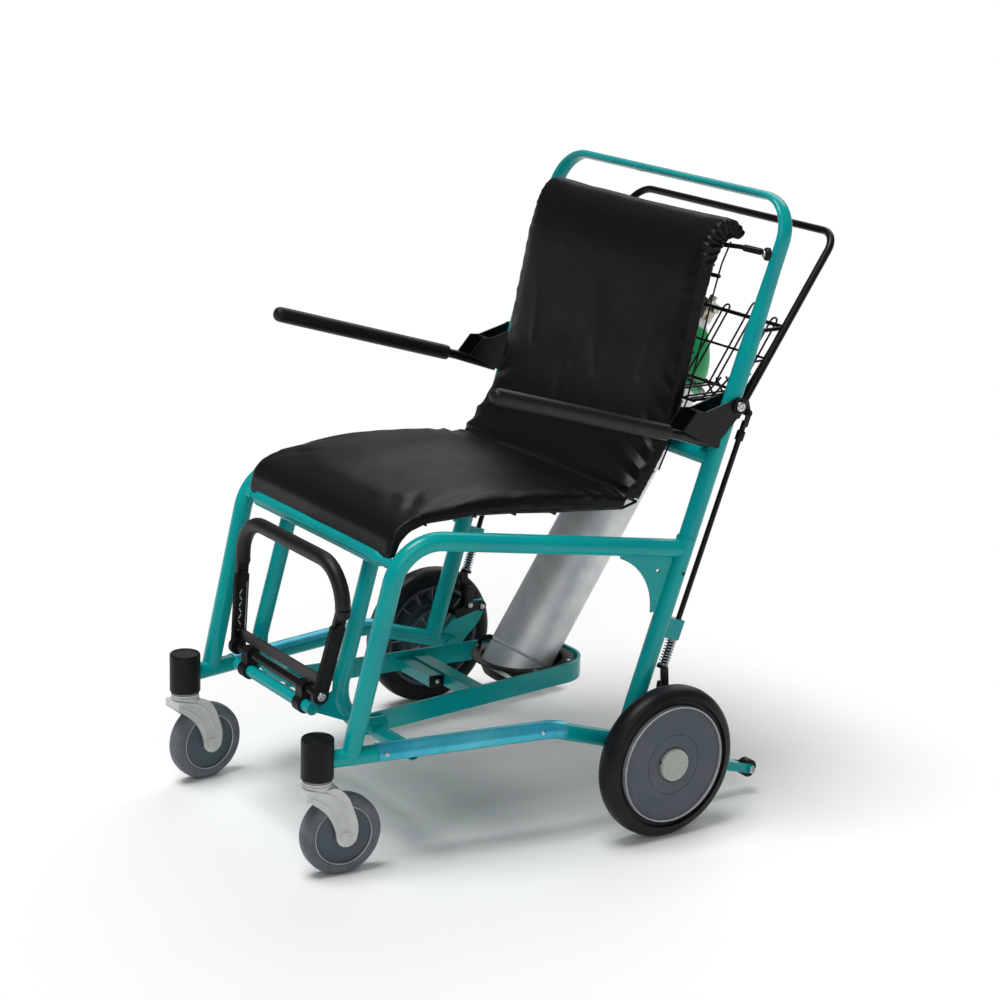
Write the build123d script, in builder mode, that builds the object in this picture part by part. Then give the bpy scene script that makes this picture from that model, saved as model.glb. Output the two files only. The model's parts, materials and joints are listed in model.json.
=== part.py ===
from build123d import *
from math import asin, atan, atan2, cos, degrees, radians, sin, sqrt, tan
import os

# Patient transport chair: a welded tube frame on two swivel casters and two large rear wheels, with a wire seat
# shell, flip-up armrests, a stowing footrest, a dead-man's brake bar and a cradle for an oxygen cylinder.
# The chair faces -Y, +X is the occupant's left and +Z is up. The origin is on the floor below the middle.

# ---- driving dimensions, mm --------------------------------------------------------------------------------
REAR_WHEEL_R = 125.0
REAR_WHEEL_X = 352.0
AXLE_Y = 105.0
AXLE_Z = REAR_WHEEL_R
CASTER_R = 65.0
STEM_X = 217.0
STEM_Y = -453.0
CASTER_TRAIL = 38.5
CASTER_YAW = 6.5

SIDE_R = 15.0  # legs and seat rails
UPRIGHT_R = 14.8  # uprights
RAIL_R = 14.0  # lower rails
WALL = 2.0
SIDE_X0 = 273.5  # where the side frame's plane crosses the middle of the chair
SPLAY = degrees(atan(0.1175))  # the side frames open towards the rear
BACK_Y0 = 24.0  # where the uprights' plane meets the floor
LEAN = degrees(atan(0.3183))
UPRIGHT_X0 = 279.3
UPRIGHT_FLARE = 0.0304
LEG_FOOT = (-402.0, 187.0)
KNEE = (-321.5, 519.6)
KNEE_BEND = 75.0
HANDLE_Z = 994.0
HANDLE_BEND = 65.0
HANDLE_SPLIT_Z = 760.0
HANDLE_OVAL_Z = 890.0
OVAL_WIDE = 14.0
OVAL_THIN = 7.0
SEAT_END_Z = 451.2

RAIL_FRONT = Vector(STEM_X, STEM_Y, 187)
RAIL_BEND = Vector(283, -68, 186.5)
RAIL_END = Vector(284.5, AXLE_Y, 131)
RAIL_BEND_R = 80.0

CROSS_Y, CROSS_Z = -331.5, 479.0
CROSS_R = 12.5
CROSS_NECK_R = 7.0
BUSH_R = 8.5
HANGER_X = 129.0
HANGER_R = 13.0
LOOP_Z = 187.0
LOOP_HEIGHT = 33.0
LOOP_THICK = 5.0
FOOT_PIVOT = (-401.5, 255.0)
FOOT_TUBE = (-406.0, 229.0)
FOOT_TUBE_R = 10.0
PIVOT_TUBE_R = 7.5
PIVOT_HALF = 124.0

ARM_PIVOT = (240.8, 681.0)
BRAKE_PIVOT = (260.0, 670.0)
BRAKE_PIN = (277.0, 661.0)
BRAKE_CORNER = (473.6, 927.5)
BRAKE_HALF = 262.0
BRAKE_TUBE_R = 6.35
ROD_R = 4.5
ROD_GUIDE = (289.2, 164.2, 324.3)  # where the rod's line passes through its guide
LEVER_PIN = (145.0, 194.0)
LEVER_PIVOT = (171.0, 188.0)
DRUM_R = 52.0

CYLINDER_R = 55.5
CYLINDER_FOOT = (63.0, 199.0)
CYLINDER_LEAN = 33.0
CYLINDER_LENGTH = 545.0
SHOULDER_LENGTH = 95.0

PIN_FIT = 0.05


# ---- places ------------------------------------------------------------------------------------------------
def side_plane(offset=0.0):
    """Plane of the left side frame; local x runs rearwards, local y up, and the normal points outwards."""
    run = Vector(sin(radians(SPLAY)), cos(radians(SPLAY)), 0)
    return Plane(origin=(SIDE_X0, 0, 0), x_dir=run, z_dir=run.cross(Vector(0, 0, 1))).offset(offset)


def on_side(place):
    """A (y, z) place of the chair as side frame coordinates."""
    return (place[0] / cos(radians(SPLAY)), place[1])


def back_y(z):
    return BACK_Y0 + z * tan(radians(LEAN))


def upright_point(z):
    return Vector(UPRIGHT_X0 + UPRIGHT_FLARE * z, back_y(z), z)


def back_plane():
    """Plane of both uprights and the push handle; local y runs up along the lean."""
    lean = radians(LEAN)
    return Plane(origin=(0, BACK_Y0, 0), x_dir=(1, 0, 0), z_dir=(0, -cos(lean), sin(lean)))


def cross_plane(x):
    """A plane square to the chair's width; local x is the chair's Y and local y is up."""
    return Plane(origin=(x, 0, 0), x_dir=(0, 1, 0), z_dir=(1, 0, 0))


def plane_of(a, b, c):
    return Plane(origin=a, x_dir=b - a, z_dir=(b - a).cross(c - a))


# ---- shared shapes -----------------------------------------------------------------------------------------
def bar(start, end, radius, wall=0.0):
    """Round bar, or tube with a wall, from start to end."""
    start, end = Vector(*start), Vector(*end)
    with BuildPart() as piece:
        with BuildSketch(Plane(origin=start, z_dir=end - start)):
            Circle(radius)
            if wall:
                Circle(radius - wall, mode=Mode.SUBTRACT)
        extrude(amount=(end - start).length)
    return piece.part


def bent_bar(plane, points, bend, radius, wall=0.0):
    """Round bar or tube bent along points drawn in a plane."""
    with BuildPart() as piece:
        with BuildLine(plane) as path:
            FilletPolyline(*points, radius=bend)
        with BuildSketch(Plane(origin=path.line @ 0, z_dir=path.line % 0)):
            Circle(radius)
            if wall:
                Circle(radius - wall, mode=Mode.SUBTRACT)
        sweep(path=path.line)
    return piece.part


def plate(x_low, x_high, outline, corner=0.0):
    """Flat plate square to the chair's width, from an outline of (y, z) places."""
    with BuildPart() as piece:
        with BuildSketch(cross_plane(x_low)):
            with BuildLine():
                Polyline(*outline, close=True)
            face = make_face()
            if corner:
                fillet(face.vertices(), corner)
        extrude(amount=x_high - x_low)
    return piece.part


def bolt(start, end, radius, head_r, head=4.0, nut=True):
    """Dome-headed bolt whose shank runs from start to end, with its head outside start and a nut outside end."""
    start, end = Vector(*start), Vector(*end)
    axis = (end - start).normalized()
    with BuildPart() as piece:
        add(bar(start, end, radius))
        with BuildSketch(Plane(origin=start, z_dir=-axis)):
            Circle(head_r)
        extrude(amount=head, taper=20)
        if nut:
            with BuildSketch(Plane(origin=end, z_dir=axis)):
                RegularPolygon(head_r, 6)
            extrude(amount=head)
    return piece.part


def mirrored(part):
    return mirror(part, about=Plane.YZ)


# ---- solid envelopes that other tubes are cut to -----------------------------------------------------------
rail_plane = plane_of(RAIL_FRONT, RAIL_BEND, RAIL_END)
rail_points = [tuple(rail_plane.to_local_coords(p))[:2] for p in (RAIL_FRONT, RAIL_BEND, RAIL_END)]
upright_foot = upright_point(142.5)
seat_stop = (back_y(SEAT_END_Z) - 5, SEAT_END_Z + 0.7)  # short of the upright's axis, inside the half collar
side_points = [on_side(LEG_FOOT), on_side(KNEE), on_side(seat_stop)]

rail_solid = bent_bar(rail_plane, rail_points, RAIL_BEND_R, RAIL_R)
upright_solid = bar(upright_foot, upright_point(HANDLE_SPLIT_Z), UPRIGHT_R)
leg_solid = bent_bar(side_plane(), side_points, KNEE_BEND, SIDE_R)
HOUSING_R = 17.0
HOUSING_X = (266.0, 324.0)
housing_solid = bar((HOUSING_X[0], AXLE_Y, AXLE_Z), (HOUSING_X[1], AXLE_Y, AXLE_Z), HOUSING_R)
SOCKET_R = 21.6
SOCKET_Z = (160.0, 222.0)
socket_solid = bar((STEM_X, STEM_Y, SOCKET_Z[0]), (STEM_X, STEM_Y, SOCKET_Z[1]), SOCKET_R)

# ---- bolts and pins of the frame ---------------------------------------------------------------------------
leg_at_cross = Vector(SIDE_X0 + tan(radians(SPLAY)) * CROSS_Y, CROSS_Y, CROSS_Z)
ARM_X = upright_point(ARM_PIVOT[1]).X
ARM_CHEEK = 21.0  # from the upright's axis to the outer face of each armrest cheek
CHEEK_T = 3.5
ARM_BOLT_R = 5.0
arm_shank = bar((ARM_X + 30, *ARM_PIVOT), (ARM_X - 30, *ARM_PIVOT), ARM_BOLT_R)
upright_dir = (upright_point(1) - upright_point(0)).normalized()

# ---- side frames: front leg and seat rail in one bent tube, with a gusset and a half collar on the upright ----
COLLAR_R = UPRIGHT_R + 2.5
collar_plane = Plane(origin=upright_point(SEAT_END_Z), x_dir=(1, 0, -UPRIGHT_FLARE), z_dir=upright_dir)
with BuildPart() as half_collar:
    with BuildSketch(collar_plane):
        Circle(COLLAR_R)
        Circle(UPRIGHT_R, mode=Mode.SUBTRACT)
        with Locations((0, 20)):
            Rectangle(60, 40, mode=Mode.SUBTRACT)
    extrude(amount=19, both=True)

with BuildPart() as corner_gusset:
    with BuildSketch(side_plane(-2)):
        with BuildLine():
            Polyline(
                on_side((53, 447)), on_side((53, 468)), on_side((160, 452)), on_side((136, 352)), on_side((111, 352))
            )
            ThreePointArc(on_side((111, 352)), on_side((96, 412)), on_side((53, 447)))
        make_face()
        with Locations(on_side((121, 420))):
            Circle(3, mode=Mode.SUBTRACT)
    extrude(amount=4)
    add(leg_solid, mode=Mode.SUBTRACT)
    add(upright_solid, mode=Mode.SUBTRACT)

with BuildPart() as side_frame_left:
    add(bent_bar(side_plane(), side_points, KNEE_BEND, SIDE_R, WALL))
    add(rail_solid, mode=Mode.SUBTRACT)
    add(upright_solid, mode=Mode.SUBTRACT)
    add(half_collar.part)
    add(corner_gusset.part)

# ---- uprights, each with the guide block of its brake rod ----------------------------------------------------
GUIDE_TOP, GUIDE_DROP = 9.0, 24.0
rod_foot = Vector(*ROD_GUIDE)
rod_top = Vector(upright_point(BRAKE_PIN[1]).X, *BRAKE_PIN)
rod_axis = (rod_top - rod_foot).normalized()
rod_plane = Plane(origin=rod_foot, x_dir=(1, 0, 0), z_dir=rod_axis)
rod_plane = Plane(origin=rod_foot, x_dir=rod_plane.x_dir - rod_axis * rod_axis.dot(rod_plane.x_dir), z_dir=rod_axis)
with BuildPart() as upright_left:
    add(bar(upright_foot, upright_point(HANDLE_SPLIT_Z), UPRIGHT_R, WALL))
    with BuildSketch(rod_plane) as guide_section:
        with Locations((0, -12.5)):
            RectangleRounded(18, 42, 3)
    extrude(amount=GUIDE_TOP)
    extrude(guide_section.sketch, amount=-GUIDE_DROP)
    with BuildSketch(Plane(origin=upright_foot, z_dir=upright_dir)):
        Circle(UPRIGHT_R - WALL)
    extrude(amount=400, mode=Mode.SUBTRACT)
    with BuildSketch(rod_plane):
        Circle(ROD_R + PIN_FIT)
    extrude(amount=60, both=True, mode=Mode.SUBTRACT)
    add(rail_solid, mode=Mode.SUBTRACT)
    add(arm_shank, mode=Mode.SUBTRACT)


# ---- push handle: one tube, round where it meets the uprights and flattened to an oval for the hands -------
def on_back(x, z):
    return (x, z / cos(radians(LEAN)))


def handle_solid(shrink):
    """The hoop's outside, or its bore when shrunk by the wall: two lofted legs and a swept oval between them."""
    across = back_plane().z_dir
    top_x, grip_x = upright_point(HANDLE_Z).X, upright_point(HANDLE_OVAL_Z).X
    corners = [on_back(top_x, HANDLE_Z), on_back(-top_x, HANDLE_Z)]
    ends = [on_back(grip_x, HANDLE_OVAL_Z), on_back(-grip_x, HANDLE_OVAL_Z)]
    with BuildPart() as hoop:
        with BuildLine(back_plane()) as path:
            FilletPolyline(ends[0], *corners, ends[1], radius=HANDLE_BEND)
        with BuildSketch(Plane(origin=path.line @ 0, x_dir=across, z_dir=path.line % 0)):
            Ellipse(OVAL_WIDE - shrink, OVAL_THIN - shrink)
        sweep(path=path.line)
    with BuildPart() as leg:
        with BuildSketch(Plane(origin=upright_point(HANDLE_SPLIT_Z), x_dir=across, z_dir=upright_dir)):
            Circle(UPRIGHT_R - shrink)
        with BuildSketch(Plane(origin=upright_point(HANDLE_OVAL_Z), x_dir=across, z_dir=upright_dir)):
            Ellipse(OVAL_WIDE - shrink, OVAL_THIN - shrink)
        loft()
    with BuildPart() as whole:
        add(hoop.part)
        add(leg.part)
        add(mirrored(leg.part))
    return whole.part


handle_outer = handle_solid(0)
with BuildPart() as push_handle:
    add(handle_outer)
    add(handle_solid(WALL), mode=Mode.SUBTRACT)

# ---- lower rails, their sockets and guards ------------------------------------------------------------------
with BuildPart() as lower_rail_left:
    add(bent_bar(rail_plane, rail_points, RAIL_BEND_R, RAIL_R, WALL))
    add(socket_solid, mode=Mode.SUBTRACT)
    add(housing_solid, mode=Mode.SUBTRACT)

FORK_STEM_R = 8.0
with BuildPart() as caster_socket_left:
    add(socket_solid)
    with BuildSketch(Plane(origin=(STEM_X, STEM_Y, SOCKET_Z[1] - 4))):
        Circle(SOCKET_R - 3)
    extrude(amount=4, mode=Mode.SUBTRACT)
    with BuildSketch(Plane(origin=(STEM_X, STEM_Y, SOCKET_Z[0]))):
        Circle(FORK_STEM_R + PIN_FIT)
    extrude(amount=48, mode=Mode.SUBTRACT)

GUARD_FRONT, GUARD_REAR = Vector(231, -359, 187), Vector(283.4, -50, 180.7)
guard_points = [
    tuple(rail_plane.to_local_coords(GUARD_FRONT))[:2],
    rail_points[1],
    tuple(rail_plane.to_local_coords(GUARD_REAR))[:2],
]
with BuildPart() as rail_guard_left:
    with BuildLine(rail_plane) as guard_path:
        FilletPolyline(*guard_points, radius=RAIL_BEND_R)
    guard_section = Plane(origin=guard_path.line @ 0, x_dir=rail_plane.z_dir, z_dir=guard_path.line % 0)
    outward = 1 if guard_section.y_dir.X > 0 else -1
    with BuildSketch(guard_section):
        Circle(RAIL_R + 2)
        Circle(RAIL_R, mode=Mode.SUBTRACT)
        with Locations((0, -outward * 20)):
            Rectangle(60, 40, mode=Mode.SUBTRACT)
    sweep(path=guard_path.line)

# ---- cross members -------------------------------------------------------------------------------------------
REAR_CROSS_Z = 596.0
rear_cross_end = upright_point(REAR_CROSS_Z)
rear_cross_y = rear_cross_end.Y - 3
with BuildPart() as rear_cross_tube:
    add(bar((-rear_cross_end.X, rear_cross_y, REAR_CROSS_Z), (rear_cross_end.X, rear_cross_y, REAR_CROSS_Z), SIDE_R, WALL))
    add(upright_solid, mode=Mode.SUBTRACT)
    add(mirrored(upright_solid), mode=Mode.SUBTRACT)

CROSS_HALF = leg_at_cross.X
with BuildPart() as front_cross_tube:
    with BuildSketch(Plane(origin=(0, CROSS_Y, CROSS_Z), x_dir=(1, 0, 0), z_dir=(0, -1, 0))):
        with BuildLine():
            Polyline(
                (-CROSS_HALF, 0), (-CROSS_HALF, BUSH_R), (-207, BUSH_R), (-207, CROSS_NECK_R), (-203, CROSS_NECK_R),
                (-186, CROSS_R), (186, CROSS_R), (203, CROSS_NECK_R), (207, CROSS_NECK_R), (207, BUSH_R),
                (CROSS_HALF, BUSH_R), (CROSS_HALF, 0), close=True,
            )
        make_face()
    revolve(axis=Axis((0, CROSS_Y, CROSS_Z), (1, 0, 0)))
    add(leg_solid, mode=Mode.SUBTRACT)
    add(mirrored(leg_solid), mode=Mode.SUBTRACT)

foot_pivot_solid = bar((-PIVOT_HALF, *FOOT_PIVOT), (PIVOT_HALF, *FOOT_PIVOT), PIVOT_TUBE_R)
HANGER_TOP, HANGER_BEND, HANGER_END = (-303.0, 484.0), (-384.0, LOOP_Z), (-283.0, LOOP_Z)
cross_solid = bar((-190, CROSS_Y, CROSS_Z), (190, CROSS_Y, CROSS_Z), CROSS_R)
loop_slope = 0.0945
loop_front, loop_rear = (122.8, -318.0), (78.1, 155.0)
with BuildPart() as loop_bar:
    with BuildLine(Plane.XY.offset(LOOP_Z)) as loop_path:
        FilletPolyline(loop_front, loop_rear, (-loop_rear[0], loop_rear[1]), (-loop_front[0], loop_front[1]), radius=60)
    with BuildSketch(Plane(origin=loop_path.line @ 0, x_dir=(0, 0, 1), z_dir=loop_path.line % 0)):
        Rectangle(LOOP_HEIGHT, LOOP_THICK)
    sweep(path=loop_path.line)

foot_tube_solid = bar((-120, *FOOT_TUBE), (120, *FOOT_TUBE), FOOT_TUBE_R)
with BuildPart() as hanger_left:
    add(bent_bar(cross_plane(HANGER_X), [HANGER_TOP, HANGER_BEND, HANGER_END], 70, HANGER_R, WALL))
    add(cross_solid, mode=Mode.SUBTRACT)
    add(loop_bar.part, mode=Mode.SUBTRACT)


hanger_solid = bent_bar(cross_plane(HANGER_X), [HANGER_TOP, HANGER_BEND, HANGER_END], 70, HANGER_R)

CROSSBAR = (-295.0, 176.0)
CROSSBAR_R = 12.5
with BuildPart() as crossbar:
    add(bar((-237, *CROSSBAR), (237, *CROSSBAR), CROSSBAR_R, WALL))
    for welded_to in (rail_solid, mirrored(rail_solid), hanger_solid, mirrored(hanger_solid), loop_bar.part):
        add(welded_to, mode=Mode.SUBTRACT)

# square tube across the loop, with the side stub whose plugged end carries the cylinder cup's brace
MEMBER_Y, STUB_Y, MEMBER_Z = -78.0, -104.0, 185.0
with BuildPart() as cross_member:
    with BuildSketch(Plane(origin=(-100, MEMBER_Y, MEMBER_Z), x_dir=(0, 1, 0), z_dir=(1, 0, 0))):
        Rectangle(26, 22)
        Rectangle(22, 18, mode=Mode.SUBTRACT)
    extrude(amount=200)
    with BuildSketch(Plane(origin=(-102.5, STUB_Y, MEMBER_Z - 1), x_dir=(0, 1, 0), z_dir=(1, 0, 0))):
        Rectangle(26, 18)
    extrude(amount=102.5)
    add(loop_bar.part, mode=Mode.SUBTRACT)

with BuildPart() as v_loop:
    add(loop_bar.part)
    add(crossbar.part)
    add(cross_member.part)

# lower front tube, with a plate from each end back to the hanger's bend
with BuildPart() as foot_cross_tube:
    add(foot_tube_solid)
    for side in (1, -1):
        brace = Vector(side * 27, 40, 0)
        brace_plane = Plane(origin=(side * 104, FOOT_TUBE[0], 0), x_dir=brace, z_dir=brace.cross(Vector(0, 0, 1)))
        with BuildSketch(brace_plane):
            with BuildLine():
                Polyline((4, 222), (60, 207), (60, 262), (46, 262), (12, 236), (4, 236), close=True)
            make_face()
        extrude(amount=2, both=True)
    add(hanger_solid, mode=Mode.SUBTRACT)
    add(mirrored(hanger_solid), mode=Mode.SUBTRACT)
    with BuildSketch(Plane(origin=(0, -320, 200))):
        Rectangle(400, 70)
    extrude(amount=80, mode=Mode.SUBTRACT)

# ---- front clamps that hold the footrest's pivot tube to the lower front tube --------------------------------
CLAMP_X = (78.0, 98.0)
with BuildPart() as foot_clamp_left:
    with BuildSketch(cross_plane(CLAMP_X[0])):
        with Locations(FOOT_PIVOT):
            Circle(12)
        with Locations(FOOT_TUBE):
            Circle(14)
        with Locations(((FOOT_PIVOT[0] + FOOT_TUBE[0]) / 2, (FOOT_PIVOT[1] + FOOT_TUBE[1]) / 2)):
            Rectangle(19, 27)
        with Locations(FOOT_PIVOT):
            Circle(PIVOT_TUBE_R + PIN_FIT, mode=Mode.SUBTRACT)
        with Locations(FOOT_TUBE):
            Circle(FOOT_TUBE_R, mode=Mode.SUBTRACT)
    extrude(amount=CLAMP_X[1] - CLAMP_X[0])

# ---- rear axle weldment: housing, stub axle, brake plate and anti-tip arm -----------------------------------
AXLE_R = 8.0
AXLE_TIP = 371.0
ROLLER = (331.0, 45.0)
ROLLER_R = 15.0
TIP_X = (273.0, 297.0)
TIP_ROOT = (112.0, 112.0)
tip_run = Vector(0, ROLLER[0] - TIP_ROOT[0], ROLLER[1] - TIP_ROOT[1])
PLATE_X = (281.0, 286.0)
LEVER_BOLT_R = 4.0
with BuildPart() as axle_housing_left:
    add(housing_solid)
    add(bar((HOUSING_X[1] - 1, AXLE_Y, AXLE_Z), (AXLE_TIP, AXLE_Y, AXLE_Z), AXLE_R))
    with BuildSketch(cross_plane(PLATE_X[0])):
        with BuildLine():
            Polyline((92, 132), (88, 150), (118, 178), (160, 200), (176, 200), (182, 188), (168, 160), (125, 118), close=True)
        plate_face = make_face()
        fillet(plate_face.vertices().sort_by(Axis.Y)[-3:], 5)
    extrude(amount=PLATE_X[1] - PLATE_X[0])
    tip_plane = Plane(origin=(285, *TIP_ROOT), x_dir=(1, 0, 0), z_dir=tip_run)
    with BuildSketch(tip_plane):
        Rectangle(TIP_X[1] - TIP_X[0], 15)
    extrude(amount=tip_run.length - 24)
    for low in (TIP_X[0], TIP_X[1] - 4):
        with BuildSketch(Plane(origin=(low, ROLLER[0], ROLLER[1]), x_dir=tip_run, z_dir=(1, 0, 0))):
            Circle(7.5)
            with Locations((-18, 0)):
                Rectangle(36, 15)
        extrude(amount=4)
    add(bar((TIP_X[0] - 2.5, *ROLLER), (TIP_X[1] + 4, *ROLLER), 4))
    add(bar((TIP_X[1], *ROLLER), (TIP_X[1] + 4, *ROLLER), 7))
    add(bar((PLATE_X[0] - 3, *LEVER_PIVOT), (PLATE_X[1] + 6.5, *LEVER_PIVOT), LEVER_BOLT_R))
    add(bar((PLATE_X[1] + 5.3, *LEVER_PIVOT), (PLATE_X[1] + 8.3, *LEVER_PIVOT), 6.5))
    add(rail_solid, mode=Mode.SUBTRACT)
    add(upright_solid, mode=Mode.SUBTRACT)

with BuildPart() as antitip_roller_left:
    with BuildSketch(cross_plane(TIP_X[0] + 4.1)):
        with Locations(ROLLER):
            Circle(ROLLER_R)
            Circle(4 + PIN_FIT, mode=Mode.SUBTRACT)
    extrude(amount=TIP_X[1] - TIP_X[0] - 8.2)

# ---- casters, drawn in the fork's own plane ------------------------------------------------------------------
yaw = radians(CASTER_YAW)
fork_plane = Plane(origin=(STEM_X, STEM_Y, 0), x_dir=(sin(yaw), cos(yaw), 0), z_dir=(cos(yaw), -sin(yaw), 0))
CASTER_AXLE = (CASTER_TRAIL, CASTER_R)
PIN_R = 4.0
with BuildPart() as caster_fork_left:
    for low in (-20.0, 16.0):
        with BuildSketch(fork_plane.offset(low)):
            with BuildLine():
                Line((-25, 133), (-25, 146))
                Line((-25, 146), (21, 146))
                Spline((21, 146), (33, 140), (43, 129), (53, 106), (58.5, 89), (59, 64))
                ThreePointArc((59, 64), (42, 48), (25, 62))
                Spline((25, 62), (19, 87), (9, 104), (-6, 119), (-25, 133))
            make_face()
        extrude(amount=4)
    with BuildSketch(fork_plane.offset(-20)):
        with BuildLine():
            Polyline((-25, 134), (-25, 146), (20, 146), (27, 141), (20, 137.5), close=True)
        make_face()
    extrude(amount=40)
    with BuildSketch(Plane(origin=(STEM_X, STEM_Y, 144))):
        Circle(20.5)
    extrude(amount=14)
    add(bar((STEM_X, STEM_Y, 150), (STEM_X, STEM_Y, 206), FORK_STEM_R))
    with BuildSketch(fork_plane.offset(-23)):
        with Locations(CASTER_AXLE):
            Circle(PIN_R)
    extrude(amount=46)
    for low in (-23.0, 20.0):
        with BuildSketch(fork_plane.offset(low)):
            with Locations(CASTER_AXLE):
                Circle(8)
        extrude(amount=3)

with BuildPart() as caster_wheel_left:
    with BuildSketch(fork_plane):
        with Locations(CASTER_AXLE):
            Circle(47.5)
            Circle(PIN_R + PIN_FIT, mode=Mode.SUBTRACT)
    extrude(amount=11, both=True)
    with BuildSketch(fork_plane):
        with Locations(CASTER_AXLE):
            Circle(13)
            Circle(PIN_R + PIN_FIT, mode=Mode.SUBTRACT)
    extrude(amount=15.8, both=True)

with BuildPart() as caster_tyre_left:
    with BuildSketch(fork_plane):
        with Locations(CASTER_AXLE):
            Circle(CASTER_R)
            Circle(47.5, mode=Mode.SUBTRACT)
    extrude(amount=15.6, both=True)
    fillet(caster_tyre_left.edges().filter_by(GeomType.CIRCLE).sort_by(SortBy.RADIUS)[-2:], 8.6)

# ---- rear wheels ---------------------------------------------------------------------------------------------
TYRE_HALF = 20.5
RIM_R = 94.5
wheel_plane = cross_plane(REAR_WHEEL_X)
with BuildPart() as rear_wheel_left:
    with BuildSketch(Plane(origin=(REAR_WHEEL_X, AXLE_Y, AXLE_Z), x_dir=(1, 0, 0), z_dir=(0, -1, 0))):
        with BuildLine():
            Polyline(
                (-8, AXLE_R + PIN_FIT), (-8, 60), (10, 70), (10, 86), (-16, 88), (-16, RIM_R), (22, RIM_R), (22, 84),
                (17, 78), (17, 50), (23.5, 46), (23.5, 12), (19.5, 12), (19.5, AXLE_R + PIN_FIT), close=True,
            )
        make_face()
    revolve(axis=Axis((REAR_WHEEL_X, AXLE_Y, AXLE_Z), (1, 0, 0)))
    with BuildSketch(cross_plane(REAR_WHEEL_X + 19.5)):
        with Locations((AXLE_Y, AXLE_Z)):
            Circle(26)
    extrude(amount=8)

with BuildPart() as wheel_drum_left:
    with BuildSketch(Plane(origin=(REAR_WHEEL_X, AXLE_Y, AXLE_Z), x_dir=(1, 0, 0), z_dir=(0, -1, 0))):
        with BuildLine():
            Polyline(
                (-27.5, AXLE_R + PIN_FIT), (-27.5, DRUM_R), (-8, DRUM_R), (-8, AXLE_R + PIN_FIT), close=True,
            )
        make_face()
    revolve(axis=Axis((REAR_WHEEL_X, AXLE_Y, AXLE_Z), (1, 0, 0)))

with BuildPart() as rear_tyre_left:
    with BuildSketch(Plane(origin=(REAR_WHEEL_X, AXLE_Y, AXLE_Z), x_dir=(1, 0, 0), z_dir=(0, -1, 0))):
        with BuildLine():
            Polyline((-16, RIM_R), (22, RIM_R), (22.5, 105))
            Spline((22.5, 105), (17, 119), (0, REAR_WHEEL_R), (-17, 119), (-20.5, 105))
            Polyline((-20.5, 105), (-16, RIM_R))
        make_face()
    revolve(axis=Axis((REAR_WHEEL_X, AXLE_Y, AXLE_Z), (1, 0, 0)))

# ---- armrests: a bent tube between two cheeks that straddle the upright --------------------------------------
ARM_TUBE_R = 8.0
GRIP_R = 13.0
arm_elbow = Vector(ARM_X, 197.5, 622)
arm_joggle = Vector(313.5, 125, 647)
arm_tip = Vector(324.5, -222, 748)
arm_plane = plane_of(arm_elbow, arm_joggle, arm_tip)
arm_points = [tuple(arm_plane.to_local_coords(p))[:2] for p in (arm_elbow, arm_joggle, arm_tip)]
grip_dir = (arm_tip - arm_joggle).normalized()
grip_start = arm_tip - grip_dir * 342
cheek_outline = [(133, 652), (190, 621), (205, 617), (207, 630), (246, 668), (254, 681), (240, 694.5), (176, 678), (158, 680)]
STOP_PIN = (175.0, 673.0)
STOP_PIN_R = 4.0
rest_pin_y = back_y(622) - (UPRIGHT_R + 5.1) / cos(radians(LEAN))  # this pin meets the upright when the arm is down
with BuildPart() as armrest_arm_left:
    add(bent_bar(arm_plane, arm_points, 60, ARM_TUBE_R))
    for low in (ARM_X - ARM_CHEEK, ARM_X + ARM_CHEEK - CHEEK_T):
        with BuildSketch(cross_plane(low)):
            with BuildLine():
                Polyline(*cheek_outline, close=True)
            make_face()
            with Locations(ARM_PIVOT):
                Circle(13)
                Circle(ARM_BOLT_R + PIN_FIT, mode=Mode.SUBTRACT)
        extrude(amount=CHEEK_T)
    add(bar((ARM_X - ARM_CHEEK, *STOP_PIN), (ARM_X + ARM_CHEEK, *STOP_PIN), STOP_PIN_R))
    add(bar((ARM_X - ARM_CHEEK, rest_pin_y, 622), (ARM_X + ARM_CHEEK, rest_pin_y, 622), 5))

with BuildPart() as armrest_grip_left:
    add(bar(grip_start, arm_tip + grip_dir * 8, GRIP_R))
    fillet(armrest_grip_left.edges().filter_by(GeomType.CIRCLE).sort_by(Axis.Y)[0], 11)
    add(armrest_arm_left.part, mode=Mode.SUBTRACT)

with BuildPart() as armrest_bolt_left:
    add(bolt((ARM_X + ARM_CHEEK + 0.1, *ARM_PIVOT), (ARM_X - ARM_CHEEK - 0.1, *ARM_PIVOT), ARM_BOLT_R, 9.5, head=5))

# ---- brake: the bar turns on lugs behind the uprights and lifts a rod each side, which lifts a shoe off a drum ----
BRAKE_X = upright_point(BRAKE_PIVOT[1]).X
BRAKE_BOLT_R = 3.0
with BuildPart() as brake_lugs_left:
    for low in (BRAKE_X - 5.1, BRAKE_X + 1.6):
        with BuildSketch(cross_plane(low)):
            with Locations(BRAKE_PIVOT):
                Circle(5.8)
            with BuildLine():
                Polyline((240, 655), (240, 676), (258, 676), (263, 665), (256, 655), close=True)
            make_face()
        extrude(amount=3.5)
    add(bar((BRAKE_X - 8.5, *BRAKE_PIVOT), (BRAKE_X + 8.5, *BRAKE_PIVOT), BRAKE_BOLT_R))
    add(bar((BRAKE_X + 5.1, *BRAKE_PIVOT), (BRAKE_X + 8.5, *BRAKE_PIVOT), 5.5))
    add(upright_solid, mode=Mode.SUBTRACT)

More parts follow.
